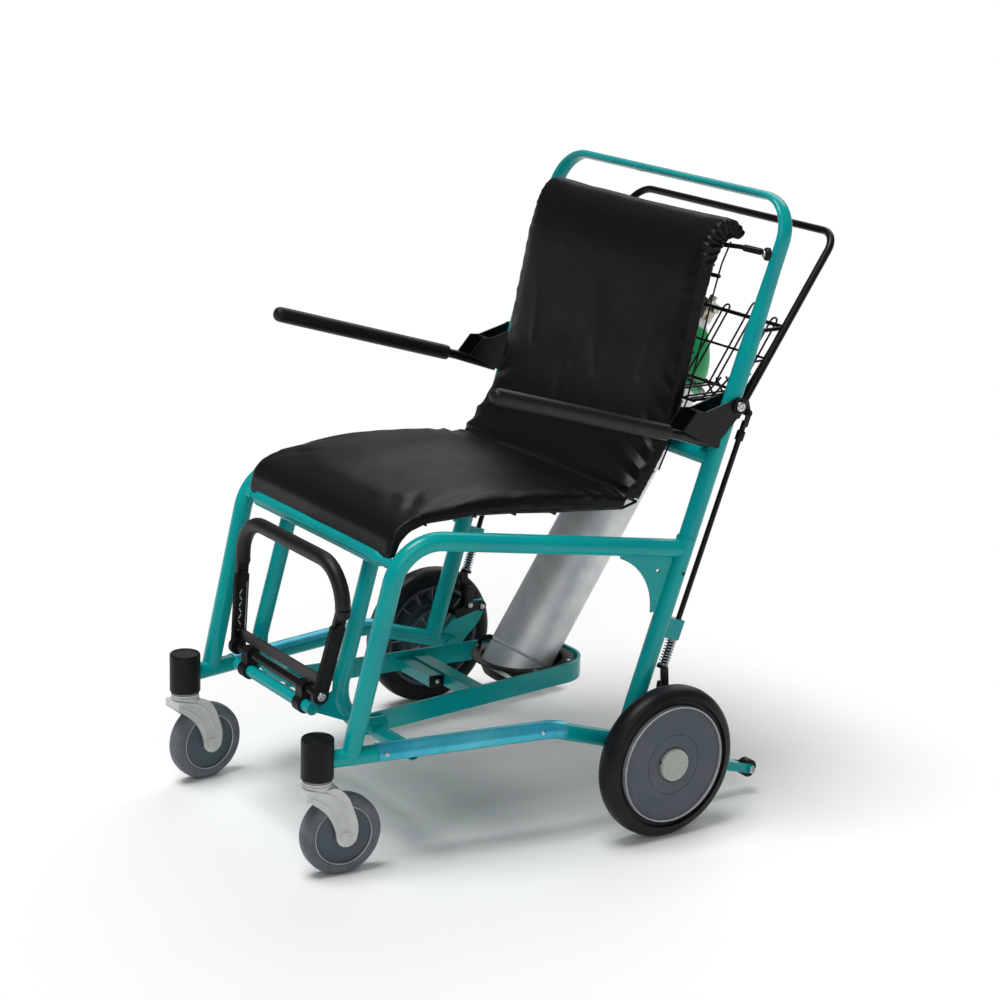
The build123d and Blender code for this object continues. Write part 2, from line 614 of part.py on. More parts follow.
leg_end = Vector(BRAKE_X, 266.5, 679.5)
brake_corner = Vector(BRAKE_HALF, *BRAKE_CORNER)
brake_places = (leg_end, brake_corner, Vector(-brake_corner.X, *BRAKE_CORNER), Vector(-leg_end.X, leg_end.Y, leg_end.Z))
brake_plane = plane_of(*brake_places[:3])
brake_points = [tuple(brake_plane.to_local_coords(p))[:2] for p in brake_places]
with BuildPart() as crank:
    with BuildSketch(cross_plane(BRAKE_X - 1.5)):
        with Locations(BRAKE_PIVOT):
            Circle(5.8)
        with Locations(BRAKE_PIN):
            Circle(5.5)
        with Locations((271, 685)):
            Circle(5)
        make_hull()
        with Locations(BRAKE_PIVOT):
            Circle(BRAKE_BOLT_R + PIN_FIT, mode=Mode.SUBTRACT)
    extrude(amount=3)
    add(bar((BRAKE_X - 4, *BRAKE_PIN), (BRAKE_X + 6.5, *BRAKE_PIN), BRAKE_BOLT_R))
with BuildPart() as brake_bar:
    add(bent_bar(brake_plane, brake_points, 38, BRAKE_TUBE_R))
    add(crank.part)
    add(mirrored(crank.part))

SPRING_LENGTH = 46.0
COIL_R, SPRING_WIRE_R = 7.5, 1.2
FLAT_X = (291.2, 295.2)
rod_end = rod_foot - rod_axis * (GUIDE_DROP + SPRING_LENGTH + 5)
with BuildPart() as brake_rod_left:
    add(bar(rod_top - rod_axis * 13, rod_end, ROD_R))
    add(bar(rod_foot - rod_axis * (GUIDE_DROP + SPRING_LENGTH + 0.2), rod_end, 9.5))
    with BuildSketch(Plane(origin=(BRAKE_X + 1.6, *BRAKE_PIN), x_dir=(0, rod_axis.Y, rod_axis.Z), z_dir=(1, 0, 0))):
        Circle(6)
        with Locations((-11, 0)):
            Rectangle(22, 9)
        SlotCenterToCenter(0.8, 2 * (BRAKE_BOLT_R + PIN_FIT), rotation=90, mode=Mode.SUBTRACT)
    extrude(amount=3)
    with BuildSketch(cross_plane(FLAT_X[0])):
        with BuildLine():
            Polyline(
                (rod_end.Y - 7, rod_end.Z + 1), (rod_end.Y + 7, rod_end.Z + 1), (LEVER_PIN[0] + 7, LEVER_PIN[1]),
                (LEVER_PIN[0] - 7, LEVER_PIN[1]), close=True,
            )
        make_face()
        with Locations(LEVER_PIN):
            Circle(7)
    extrude(amount=FLAT_X[1] - FLAT_X[0])
    add(bar((PLATE_X[1] + 0.5, *LEVER_PIN), (FLAT_X[1] + 2, *LEVER_PIN), BRAKE_BOLT_R))

with BuildPart() as brake_spring_left:
    spring_plane = Plane(origin=rod_foot - rod_axis * (GUIDE_DROP + SPRING_LENGTH), x_dir=rod_plane.x_dir, z_dir=rod_axis)
    with BuildLine() as coil:
        coil_rise = SPRING_LENGTH - 2 * SPRING_WIRE_R
        coil_foot = spring_plane.from_local_coords((0, 0, SPRING_WIRE_R))
        coil_line = Helix(coil_rise / 6, coil_rise, COIL_R, center=tuple(coil_foot), direction=tuple(rod_axis))
    with BuildSketch(Plane(origin=coil_line @ 0, z_dir=coil_line % 0)):
        RegularPolygon(SPRING_WIRE_R, 6)
    sweep(path=coil_line, is_frenet=True)

# the shoe is a flat bar that lies along the drum, ends short of the tyre, and lifts clear as the lever turns
SHOE_ANGLE, SHOE_LENGTH, SHOE_THICK = 65.0, 28.0, 9.0
SHOE_END_X = REAR_WHEEL_X - TYRE_HALF - 0.9
SHOE_OUT = DRUM_R + 0.4 + SHOE_THICK / 2
with BuildPart() as brake_lever_left:
    with BuildSketch(cross_plane(PLATE_X[1] + 0.1)):
        with Locations(LEVER_PIVOT):
            Circle(9)
        with Locations(LEVER_PIN):
            Circle(8)
        with BuildLine():
            Polyline((116, 175), (144, 160), (176, 180.5), (172, 197), (146, 202), (116, 186), close=True)
        make_face()
        with Locations((AXLE_Y, AXLE_Z)):
            Circle(DRUM_R + 0.3, mode=Mode.SUBTRACT)
        with Locations(LEVER_PIVOT):
            Circle(LEVER_BOLT_R + PIN_FIT, mode=Mode.SUBTRACT)
        with Locations(LEVER_PIN):
            SlotCenterToCenter(1.6, 2 * (BRAKE_BOLT_R + PIN_FIT), mode=Mode.SUBTRACT)
    extrude(amount=5)
    with BuildSketch(cross_plane(PLATE_X[1] + 0.1)):
        with Locations((AXLE_Y + SHOE_OUT * cos(radians(SHOE_ANGLE)), AXLE_Z + SHOE_OUT * sin(radians(SHOE_ANGLE)))):
            Rectangle(SHOE_LENGTH, SHOE_THICK, rotation=SHOE_ANGLE + 90)
    extrude(amount=SHOE_END_X - PLATE_X[1] - 0.1)

# ---- oxygen cylinder and its cup ------------------------------------------------------------------------------
cylinder_plane = Plane(
    origin=(0, *CYLINDER_FOOT), x_dir=(1, 0, 0), z_dir=(0, sin(radians(CYLINDER_LEAN)), cos(radians(CYLINDER_LEAN)))
)
spin_plane = Plane(origin=cylinder_plane.origin, x_dir=(1, 0, 0), z_dir=-cylinder_plane.y_dir)
cylinder_axis = Axis(cylinder_plane.origin, cylinder_plane.z_dir)
NECK_R = 14.0
with BuildPart() as cylinder_body:
    with BuildSketch(spin_plane):
        with BuildLine():
            Polyline((0, 0), (CYLINDER_R - 8, 0))
            RadiusArc((CYLINDER_R - 8, 0), (CYLINDER_R, 8), -8)
            Line((CYLINDER_R, 8), (CYLINDER_R, CYLINDER_LENGTH))
            Spline(
                (CYLINDER_R, CYLINDER_LENGTH), (45, CYLINDER_LENGTH + 48), (NECK_R, CYLINDER_LENGTH + SHOULDER_LENGTH),
                tangents=((0, 1), (-0.6, 0.8)),
            )
            Polyline(
                (NECK_R, CYLINDER_LENGTH + SHOULDER_LENGTH), (NECK_R, CYLINDER_LENGTH + SHOULDER_LENGTH + 8),
                (0, CYLINDER_LENGTH + SHOULDER_LENGTH + 8), (0, 0),
            )
        make_face()
    revolve(axis=cylinder_axis)

valve_z = CYLINDER_LENGTH + SHOULDER_LENGTH + 8
with BuildPart() as cylinder_valve:
    with BuildSketch(cylinder_plane.offset(valve_z)):
        Circle(16)
    extrude(amount=9)
    with BuildSketch(cylinder_plane.offset(valve_z + 9)):
        RectangleRounded(25, 25, 4)
    extrude(amount=26)
    with BuildSketch(cylinder_plane.offset(valve_z + 35)):
        Circle(7)
    extrude(amount=10)
    with BuildSketch(Plane(origin=cylinder_plane.from_local_coords((0, 0, valve_z + 22)), z_dir=(1, 0, 0))):
        Circle(6)
    extrude(amount=24)

cup_solid = bar((0, *CYLINDER_FOOT), cylinder_plane.from_local_coords((0, 0, 120)), CYLINDER_R + 0.5)
with BuildPart() as cylinder_cup:
    with BuildSketch(cylinder_plane.offset(-5)):
        Circle(CYLINDER_R + 3.5)
    extrude(amount=4.9)
    with BuildSketch(cylinder_plane.offset(-5)):
        Circle(CYLINDER_R + 3.5)
        Circle(CYLINDER_R + 0.5, mode=Mode.SUBTRACT)
    extrude(amount=38)
    for low in (-86.5, 52):
        with BuildSketch(Plane(origin=(low, 62, 190), x_dir=(0, 1, 0), z_dir=(1, 0, 0))):
            Rectangle(26, 20)
        extrude(amount=34.5)
    with BuildSketch(Plane(origin=(0, 118, 186), x_dir=(1, 0, 0), z_dir=(0, 1, 0))):
        Rectangle(32, 20)
    extrude(amount=36)
    add(cup_solid, mode=Mode.SUBTRACT)
    add(v_loop.part, mode=Mode.SUBTRACT)

# ---- seat and back pads on their wire shells ------------------------------------------------------------------
WIRE_R = 2.5
SEAT_HALF_FRONT, SEAT_HALF_REAR = 218.0, 240.0


def wire(*points, radius=WIRE_R):
    """Drawn wire run through 3-D points, as a six-sided bar with mitred bends."""
    with BuildPart() as piece:
        with BuildLine() as path:
            Polyline(*points)
        with BuildSketch(Plane(origin=points[0], z_dir=path.line % 0)):
            RegularPolygon(radius, 6)
        sweep(path=path.line, transition=Transition.RIGHT)
    return piece.part


def parallel(points, gap):
    """The open outline moved sideways by gap, to the right of its run."""
    moved = []
    for i, (y, z) in enumerate(points):
        before, after = points[max(i - 1, 0)], points[min(i + 1, len(points) - 1)]
        run, rise = after[0] - before[0], after[1] - before[1]
        length = sqrt(run * run + rise * rise)
        moved.append((y + gap * rise / length, z - gap * run / length))
    return moved


seat_top = [
    (-333, 494), (-335, 506), (-329, 522), (-318, 534), (-295, 545), (-257, 551), (-198, 557), (-99, 555), (4, 546),
    (57, 538), (91, 531),
]
seat_under = [(-323, 494), (-317, 508), (-299, 524), (-265, 535), (-178, 537), (-107, 532), (-34, 524), (91, 514)]
back_front = [(93, 532), (119, 568), (149, 609), (173, 674), (189, 752), (207, 838), (221, 897), (240, 936), (266, 960)]
back_rear = [(118, 524), (144, 566), (170, 609), (194, 674), (211, 752), (229, 838), (244, 890), (262, 921), (283, 930)]


def pad(front, rear, half_width):
    """Plain pad between two outlines of (y, z) places, as wide as the back."""
    with BuildPart() as piece:
        with BuildSketch(cross_plane(-half_width)):
            with BuildLine():
                Spline(*front)
                Line(front[-1], rear[-1])
                Polyline(*rear)
                Line(rear[0], front[0])
            make_face()
        extrude(amount=2 * half_width)
    return piece.part


def seat_half(y):
    """Half width of the seat at a place along its depth."""
    return SEAT_HALF_FRONT + (SEAT_HALF_REAR - SEAT_HALF_FRONT) * (y + 333) / 426


with BuildPart() as seat_pad:
    add(pad(seat_top, seat_under, SEAT_HALF_REAR))
    with BuildSketch(Plane(origin=(0, 0, 450))):
        with BuildLine():
            Polyline(
                (-seat_half(-340), -340), (seat_half(-340), -340), (seat_half(93), 93), (-seat_half(93), 93), close=True
            )
        make_face()
    extrude(amount=200, mode=Mode.INTERSECT)

# the back pad folds over the top of its shell
with BuildPart() as back_pad:
    with BuildSketch(cross_plane(-SEAT_HALF_REAR)):
        with BuildLine():
            Spline(*back_front)
            Spline(back_front[-1], (281, 957), (297, 945), (306, 930))
            Polyline((306, 930), (298, 922), back_rear[-1])
            Polyline(*back_rear)
            Line(back_rear[0], back_front[0])
        make_face()
    extrude(amount=2 * SEAT_HALF_REAR)

WIRE_GAP = WIRE_R + 0.1
under = parallel(seat_under, WIRE_GAP)
behind = parallel(back_rear, WIRE_GAP)
FAN = (-1, -0.66, -0.33, 0, 0.33, 0.66, 1)
SIDE_MARGIN = 12.0
BACK_HALF = SEAT_HALF_REAR - SIDE_MARGIN
crease = (behind[0][0] - 2, behind[0][1] - 4)
with BuildPart() as seat_shell:
    for share in FAN:
        run = [(share * (seat_half(y) - SIDE_MARGIN), y, z) for y, z in under[2:]]
        add(wire((share * 208, under[1][0], under[1][1]), *run, (share * BACK_HALF, *crease)))
        add(wire((share * 208, CROSS_Y + 8, CROSS_Z + 6), (share * 208, under[1][0], under[1][1])))
    for y, z in under[3:-1]:
        half = seat_half(y) - SIDE_MARGIN
        add(wire((-half, y, z - 4), (half, y, z - 4)))
    add(wire((-BACK_HALF, *crease), (BACK_HALF, *crease)))
    add(front_cross_tube.part, mode=Mode.SUBTRACT)

with BuildPart() as back_shell:
    for share in FAN:
        add(wire(*[(share * BACK_HALF, y, z) for y, z in behind[:-1]]))
    for y, z in behind[1:-1]:
        add(wire((-BACK_HALF, y + 4, z - 1), (BACK_HALF, y + 4, z - 1)))
    hook_y, hook_z = behind[2][0] + 4, behind[2][1] - 1
    top_y, top_z = behind[-2][0] + 4, behind[-2][1] - 1
    for side in (-1, 1):
        add(wire((side * 100, hook_y, hook_z), (side * 100, rear_cross_y - 14, REAR_CROSS_Z + 1), radius=4))
        add(wire((side * 215, top_y, top_z), (side * 250, 285, 918), (side * 304, 306, 913), radius=4))
    add(seat_shell.part, mode=Mode.SUBTRACT)
    add(rear_cross_tube.part, mode=Mode.SUBTRACT)
    add(handle_outer, mode=Mode.SUBTRACT)

# ---- wire basket between the uprights, with a ring that steadies the cylinder --------------------------------
BASKET_HALF = 270.0
BASKET_FRONT = 256.0  # half width beside the back shell
BASKET_FLOOR = (203.4, 679.0)
BASKET_FOOT, BASKET_MID, BASKET_RIM = (302.5, 681.0), (339.5, 735.0), (371.5, 784.0)
SHELL_AT_MID, SHELL_AT_RIM = 222.0, 232.0
RING_PLACE = 537.0
levels = (
    (BASKET_FOOT, BASKET_FLOOR),
    (BASKET_MID, (SHELL_AT_MID, BASKET_MID[1])),
    (BASKET_RIM, (SHELL_AT_RIM, BASKET_RIM[1])),
)
with BuildPart() as basket:
    for rear, front in levels:
        corners = [(-BASKET_FRONT, *front), (-BASKET_HALF, *rear), (BASKET_HALF, *rear), (BASKET_FRONT, *front)]
        add(wire(*corners, radius=3))
    add(wire((-BASKET_FRONT, *BASKET_FLOOR), (BASKET_FRONT, *BASKET_FLOOR)))
    for step in range(-4, 5):
        for shift in (-7, 7):
            x = 60 * step + shift
            floor_front = (x, BASKET_FLOOR[0], BASKET_FLOOR[1] + 3)
            floor_rear = (x, BASKET_FOOT[0] - 4, BASKET_FOOT[1] + 1)
            add(wire(floor_front, floor_rear, (x, BASKET_RIM[0] - 3, BASKET_RIM[1] + 3), radius=2))
    for side in (-1, 1):
        front_x, rear_x = side * BASKET_FRONT, side * BASKET_HALF
        add(wire(*[(front_x, *front) for rear, front in levels]))
        add(wire(*[(rear_x, *rear) for rear, front in levels]))
        for z in (BASKET_MID[1], BASKET_RIM[1]):
            add(wire((side * 262, back_y(z), z), (side * upright_point(z).X, back_y(z), z), radius=3))
    with BuildSketch(cylinder_plane.offset(RING_PLACE)):
        Circle(CYLINDER_R + 8.5)
        Circle(CYLINDER_R + 1.5, mode=Mode.SUBTRACT)
    extrude(amount=4)
    for outer in (upright_solid, mirrored(upright_solid), handle_outer):
        add(outer, mode=Mode.SUBTRACT)

# ---- footrest: a padded hoop on a pivot tube, stowed upright in front of the seat ----------------------------
HOOP_Y, HOOP_TOP = -377.5, 462.0
hoop_plane = Plane(origin=(0, HOOP_Y, 0), x_dir=(1, 0, 0), z_dir=(0, -1, 0))
hoop_points = [(157.3, 385), (171.5, HOOP_TOP), (-171.5, HOOP_TOP), (-157.3, 385)]
arm_foot, arm_head = Vector(131, FOOT_PIVOT[0], FOOT_PIVOT[1] - 6), Vector(159, HOOP_Y, 400)
foot_arm_dir = (arm_head - arm_foot).normalized()
foot_arm_plane = Plane(origin=arm_foot, x_dir=Vector(1, 0, 0) - foot_arm_dir * foot_arm_dir.X, z_dir=foot_arm_dir)
with BuildPart() as foot_arm:
    with BuildSketch(foot_arm_plane):
        Rectangle(7, 20)
    extrude(amount=(arm_head - arm_foot).length)
with BuildPart() as footrest_frame:
    add(foot_pivot_solid)
    add(bar((-PIVOT_HALF - 14, *FOOT_PIVOT), (PIVOT_HALF + 14, *FOOT_PIVOT), 5))
    add(bent_bar(hoop_plane, hoop_points, 64, 6))
    add(foot_arm.part)
    add(mirrored(foot_arm.part))
    with BuildSketch(Plane(origin=(0, FOOT_PIVOT[0] + 3, 277.5))):
        Rectangle(264, 3.5)
    extrude(amount=9, both=True)

with BuildPart() as footrest_grip:
    add(bent_bar(hoop_plane, hoop_points, 64, 11))
    with BuildSketch(Plane(origin=(0, HOOP_Y, 360))):
        Rectangle(400, 60)
    extrude(amount=38, mode=Mode.SUBTRACT)
    add(footrest_frame.part, mode=Mode.SUBTRACT)

# ---- hand the pieces over ---------------------------------------------------------------------------------------
os.makedirs("parts", exist_ok=True)
PAIRS = {
    "side_frame": side_frame_left,
    "upright": upright_left,
    "lower_rail": lower_rail_left,
    "rail_guard": rail_guard_left,
    "hanger": hanger_left,
    "foot_clamp": foot_clamp_left,
    "caster_socket": caster_socket_left,
    "axle_housing": axle_housing_left,
    "armrest_bolt": armrest_bolt_left,
    "brake_lugs": brake_lugs_left,
    "caster_fork": caster_fork_left,
    "caster_wheel": caster_wheel_left,
    "caster_tyre": caster_tyre_left,
    "rear_wheel": rear_wheel_left,
    "rear_tyre": rear_tyre_left,
    "wheel_drum": wheel_drum_left,
    "antitip_roller": antitip_roller_left,
    "armrest_arm": armrest_arm_left,
    "armrest_grip": armrest_grip_left,
    "brake_rod": brake_rod_left,
    "brake_spring": brake_spring_left,
    "brake_lever": brake_lever_left,
}
SINGLES = {
    "push_handle": push_handle,
    "rear_cross_tube": rear_cross_tube,
    "front_cross_tube": front_cross_tube,
    "v_loop": v_loop,
    "foot_cross_tube": foot_cross_tube,
    "cylinder_cup": cylinder_cup,
    "seat_shell": seat_shell,
    "back_shell": back_shell,
    "basket": basket,
    "seat_pad": seat_pad,
    "back_pad": back_pad,
    "footrest_frame": footrest_frame,
    "footrest_grip": footrest_grip,
    "brake_bar": brake_bar,
    "cylinder_body": cylinder_body,
    "cylinder_valve": cylinder_valve,
}


def hand_over(node, part):
    part.label = node
    export_step(part, f"parts/{node}.step")


for node, piece in SINGLES.items():
    hand_over(node, piece.part)
for node, piece in PAIRS.items():
    hand_over(node + "_left", piece.part)
    hand_over(node + "_right", mirrored(piece.part))
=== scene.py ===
import json
from math import cos, pi, radians, sin, tan

import bpy
import numpy as np
from mathutils import Matrix, Vector, noise


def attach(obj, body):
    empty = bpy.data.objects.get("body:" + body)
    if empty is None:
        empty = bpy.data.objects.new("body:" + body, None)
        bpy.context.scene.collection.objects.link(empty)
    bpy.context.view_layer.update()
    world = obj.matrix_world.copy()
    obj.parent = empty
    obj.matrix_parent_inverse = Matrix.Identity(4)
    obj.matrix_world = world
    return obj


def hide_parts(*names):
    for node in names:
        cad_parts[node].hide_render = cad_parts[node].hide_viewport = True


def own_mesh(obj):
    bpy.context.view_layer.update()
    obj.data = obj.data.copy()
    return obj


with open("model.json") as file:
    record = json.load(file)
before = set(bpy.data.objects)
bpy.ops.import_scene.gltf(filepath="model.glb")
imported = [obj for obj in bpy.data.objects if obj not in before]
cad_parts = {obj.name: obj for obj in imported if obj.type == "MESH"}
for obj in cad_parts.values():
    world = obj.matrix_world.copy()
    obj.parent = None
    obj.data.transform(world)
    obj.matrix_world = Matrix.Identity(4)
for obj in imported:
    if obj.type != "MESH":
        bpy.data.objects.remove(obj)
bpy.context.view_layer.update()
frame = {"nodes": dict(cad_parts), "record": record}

# A patient transport chair: powder-coated tube frame, wire seat shell with vinyl pads, foam grips, a wire
# basket, a brake worked from a bar behind the handle, and a gas cylinder in its cup. Lengths are millimetres,
# turned to metres by MM. The chair faces -Y and +X is the occupant's left.
MM = 0.001
nodes = frame["nodes"]
SIDES = {"left": 1, "right": -1}


# ---- workbench: small helpers that every piece below uses ----------------------------------------
def at(x, y, z):
    """A place of the chair, from millimetres."""
    return Vector((x, y, z)) * MM


def deselect():
    if bpy.context.mode != "OBJECT":
        bpy.ops.object.mode_set(mode="OBJECT")
    bpy.ops.object.select_all(action="DESELECT")


def hold(piece):
    """Makes one piece the only one selected and active."""
    deselect()
    piece.select_set(True)
    bpy.context.view_layer.objects.active = piece
    return piece


def settle(piece, place, direction=(0, 0, 1), across=None):
    """Turns a piece drawn up its own Z axis to a direction, moves it to its place, and applies both to its mesh."""
    along = Vector(direction).normalized()
    if across is None:
        turn = along.to_track_quat("Z", "Y").to_matrix()
    else:
        side = (Vector(across) - along * along.dot(Vector(across))).normalized()
        turn = Matrix((side, along.cross(side), along)).transposed()
    piece.matrix_world = Matrix.Translation(place) @ turn.to_4x4()
    hold(piece)
    bpy.ops.object.transform_apply(location=True, rotation=True, scale=True)
    return piece


def turned(name, rings, sides=64, closed=False):
    """A round piece grown ring by ring up the Z axis; each ring is (radius, height)."""
    deselect()
    radius, height = rings[0]
    fill = "NOTHING" if closed else "NGON"
    bpy.ops.mesh.primitive_circle_add(
        vertices=sides, radius=radius * MM, fill_type=fill, location=(0, 0, height * MM)
    )
    piece = bpy.context.object
    piece.name = piece.data.name = name
    bpy.ops.object.transform_apply()
    bpy.ops.object.mode_set(mode="EDIT")
    for next_radius, next_height in rings[1:]:
        step = {"value": (0, 0, (next_height - height) * MM)}
        if closed:
            bpy.ops.mesh.extrude_edges_move(TRANSFORM_OT_translate=step)
        else:
            bpy.ops.mesh.extrude_region_move(TRANSFORM_OT_translate=step)
        share = next_radius / radius
        bpy.ops.transform.resize(value=(share, share, 1), center_override=(0, 0, next_height * MM))
        radius, height = next_radius, next_height
    bpy.ops.mesh.select_all(action="SELECT")
    bpy.ops.mesh.remove_doubles(threshold=1e-6)
    bpy.ops.mesh.normals_make_consistent(inside=False)
    bpy.ops.object.mode_set(mode="OBJECT")
    return piece


def rods(name, routes, radius, bend=0.0, closed=False, detail=3, smooth=4):
    """Round bars drawn as Bezier curves along their corners, each corner rounded to the bend, and made one mesh."""
    deselect()
    bpy.ops.curve.primitive_bezier_curve_add()
    piece = bpy.context.object
    piece.name = name
    piece.data.splines.clear()
    for route in routes:
        corners = [at(*c) for c in route]
        count = len(corners)
        marks = []
        for i, corner in enumerate(corners):
            inside = closed or 0 < i < count - 1
            came = (corner - corners[i - 1]).normalized() if inside or i else (corners[1] - corner).normalized()
            goes = (corners[(i + 1) % count] - corner).normalized() if inside or i < count - 1 else came
            turn = came.angle(goes)
            if inside and bend and turn > 0.02:
                cut, arm = bend * MM * tan(turn / 2), bend * MM * 4 / 3 * tan(turn / 4)
                start, end = corner - came * cut, corner + goes * cut
                marks.append((start - came * MM, start, start + came * arm))
                marks.append((end - goes * arm, end, end + goes * MM))
            else:
                marks.append((corner - came * MM, corner, corner + goes * MM))
        spline = piece.data.splines.new("BEZIER")
        spline.bezier_points.add(len(marks) - 1)
        spline.use_cyclic_u = closed
        for point, (before, place, after) in zip(spline.bezier_points, marks):
            point.handle_left_type = point.handle_right_type = "FREE"
            point.handle_left, point.co, point.handle_right = before, place, after
    piece.data.dimensions = "3D"
    piece.data.resolution_u = smooth
    piece.data.bevel_depth = radius * MM
    piece.data.bevel_resolution = detail
    piece.data.use_fill_caps = True
    hold(piece)
    bpy.ops.object.convert(target="MESH")
    piece = bpy.context.object
    piece.data.name = name
    return piece


def block(name, middle, size, bevel=1.0, turn=None):
    """A box at its place with its edges rounded; turn is a rotation about its own middle."""
    deselect()
    bpy.ops.mesh.primitive_cube_add(size=1, location=at(*middle))
    piece = bpy.context.object
    piece.name = piece.data.name = name
    piece.scale = at(*size)
    if turn is not None:
        piece.rotation_euler = turn
    bpy.ops.object.transform_apply(location=True, rotation=True, scale=True)
    bpy.ops.object.mode_set(mode="EDIT")
    bpy.ops.mesh.bevel(offset=bevel * MM, segments=3, affect="EDGES")
    bpy.ops.object.mode_set(mode="OBJECT")
    return piece


def joined(name, pieces):
    deselect()
    for piece in pieces:
        piece.select_set(True)
    bpy.context.view_layer.objects.active = pieces[0]
    bpy.ops.object.join()
    pieces[0].name = pieces[0].data.name = name
    return pieces[0]


def copied(piece, name, shift=None, mirror=False):
    """A second piece with its own mesh, moved or mirrored across the chair's middle."""
    hold(piece)
    bpy.ops.object.duplicate()
    twin = bpy.context.object
    twin.name = twin.data.name = name
    if shift is not None:
        twin.location = at(*shift)
    if mirror:
        twin.scale = (-1, 1, 1)
    bpy.ops.object.transform_apply(location=True, rotation=True, scale=True)
    if mirror:
        bpy.ops.object.mode_set(mode="EDIT")
        bpy.ops.mesh.select_all(action="SELECT")
        bpy.ops.mesh.normals_make_consistent(inside=False)
        bpy.ops.object.mode_set(mode="OBJECT")
    return twin


def fit(piece, finish, slot, body, *stands_for, angle=35):
    """Gives a piece its finish, smooths it, lets it ride on its body and stand for its CAD nodes."""
    hold(piece)
    piece.data.materials.clear()
    piece.data.materials.append(finish)
    bpy.ops.object.shade_smooth_by_angle(angle=radians(angle))
    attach(piece, body)
    if stands_for:
        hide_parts(*stands_for)
    return piece


CYLINDER_LEAN = radians(33)
CYLINDER_WAY = (0, sin(CYLINDER_LEAN), cos(CYLINDER_LEAN))


# ---- finishes ------------------------------------------------------------------------------------
def linear(colour):
    """An sRGB hex colour as linear red, green, blue and alpha."""
    parts = [int(colour[i : i + 2], 16) / 255 for i in (1, 3, 5)]
    return [c / 12.92 if c <= 0.04045 else ((c + 0.055) / 1.055) ** 2.4 for c in parts] + [1.0]


def put(tree, kind, settings={}, links={}, feeds={}):
    """Adds one node to a material, with its settings, the links it takes and the sockets it feeds."""
    new = tree.nodes.new(kind)
    for key, value in settings.items():
        if isinstance(key, int) or key in new.inputs:
            new.inputs[key].default_value = value
        else:
            setattr(new, key, value)
    for key, source in links.items():
        tree.links.new(source, new.inputs[key])
    for key, target in feeds.items():
        tree.links.new(new.outputs[key], target)
    return new


def surface(name, colour, roughness, metallic=0.0, **more):
    """A material with a Principled surface; gives back the material, its tree, the surface and object coordinates."""
    made = bpy.data.materials.new(name)
    made.use_nodes = True
    made.diffuse_color = linear(colour)
    tree = made.node_tree
    skin = tree.nodes["Principled BSDF"]
    skin.inputs["Base Color"].default_value = linear(colour)
    skin.inputs["Roughness"].default_value = roughness
    skin.inputs["Metallic"].default_value = metallic
    for key, value in more.items():
        skin.inputs[key.replace("_", " ")].default_value = value
    return made, tree, skin, put(tree, "ShaderNodeTexCoord").outputs["Object"]


def mottle(tree, skin, coords, scale, dark, light, low=0.35, high=0.65, detail=3):
    """Slow colour change between two close colours, as real batches and handling leave."""
    cloud = put(tree, "ShaderNodeTexNoise", {"Scale": scale, "Detail": detail}, {"Vector": coords})
    ramp = put(tree, "ShaderNodeValToRGB", {}, {"Fac": cloud.outputs["Fac"]})
    ramp.color_ramp.elements[0].position, ramp.color_ramp.elements[0].color = low, linear(dark)
    ramp.color_ramp.elements[1].position, ramp.color_ramp.elements[1].color = high, linear(light)
    tree.links.new(ramp.outputs["Color"], skin.inputs["Base Color"])
    return cloud


# polyester powder coat, baked: even colour, gloss, and a faint orange peel about 2 mm across
frame_paint, tree, skin, coords = surface("powder_coat_teal", "#009A9B", 0.2, Specular_IOR_Level=0.3)
mottle(tree, skin, coords, 9, "#009498", "#00A19E")
peel = put(tree, "ShaderNodeTexNoise", {"Scale": 420, "Detail": 2}, {"Vector": coords})
put(
    tree, "ShaderNodeBump", {"Strength": 0.35, "Distance": 0.05 * MM}, {"Height": peel.outputs["Fac"]},
    {"Normal": skin.inputs["Normal"]},
)

# clear-coated bright film over the guard's steel: cool blue, smooth, faintly scuffed along the rail
guard_steel, tree, skin, coords = surface("tinted_guard_sheath", "#3FB4CC", 0.2, 0.35, Specular_IOR_Level=0.3)
mottle(tree, skin, coords, 14, "#33A8C6", "#55C1D2")
scuff = put(tree, "ShaderNodeTexNoise", {"Scale": 120, "Detail": 6, "Roughness": 0.7}, {"Vector": coords})
scuffed = put(tree, "ShaderNodeMapRange", {"To Min": 0.14, "To Max": 0.34}, {"Value": scuff.outputs["Fac"]})
tree.links.new(scuffed.outputs["Result"], skin.inputs["Roughness"])

# satin black powder coat on bent steel: dark, half gloss, with fine texture
black_paint, tree, skin, coords = surface("powder_coat_black", "#0C0C0D", 0.3, Specular_IOR_Level=0.22)
mottle(tree, skin, coords, 40, "#0A0A0B", "#101011")
grit = put(tree, "ShaderNodeTexNoise", {"Scale": 900, "Detail": 2}, {"Vector": coords})
put(
    tree, "ShaderNodeBump", {"Strength": 0.4, "Distance": 0.06 * MM}, {"Height": grit.outputs["Fac"]},
    {"Normal": skin.inputs["Normal"]},
)

# injection-moulded nylon: black, softly sparked surface, duller on handled faces
black_plastic, tree, skin, coords = surface("moulded_nylon_black", "#0C0D0E", 0.42, Specular_IOR_Level=0.2)
mottle(tree, skin, coords, 60, "#0A0B0C", "#0F1011")
spark = put(tree, "ShaderNodeTexVoronoi", {"Scale": 1100}, {"Vector": coords})
put(
    tree, "ShaderNodeBump", {"Strength": 0.5, "Distance": 0.08 * MM}, {"Height": spark.outputs["Distance"]},
    {"Normal": skin.inputs["Normal"]},
)

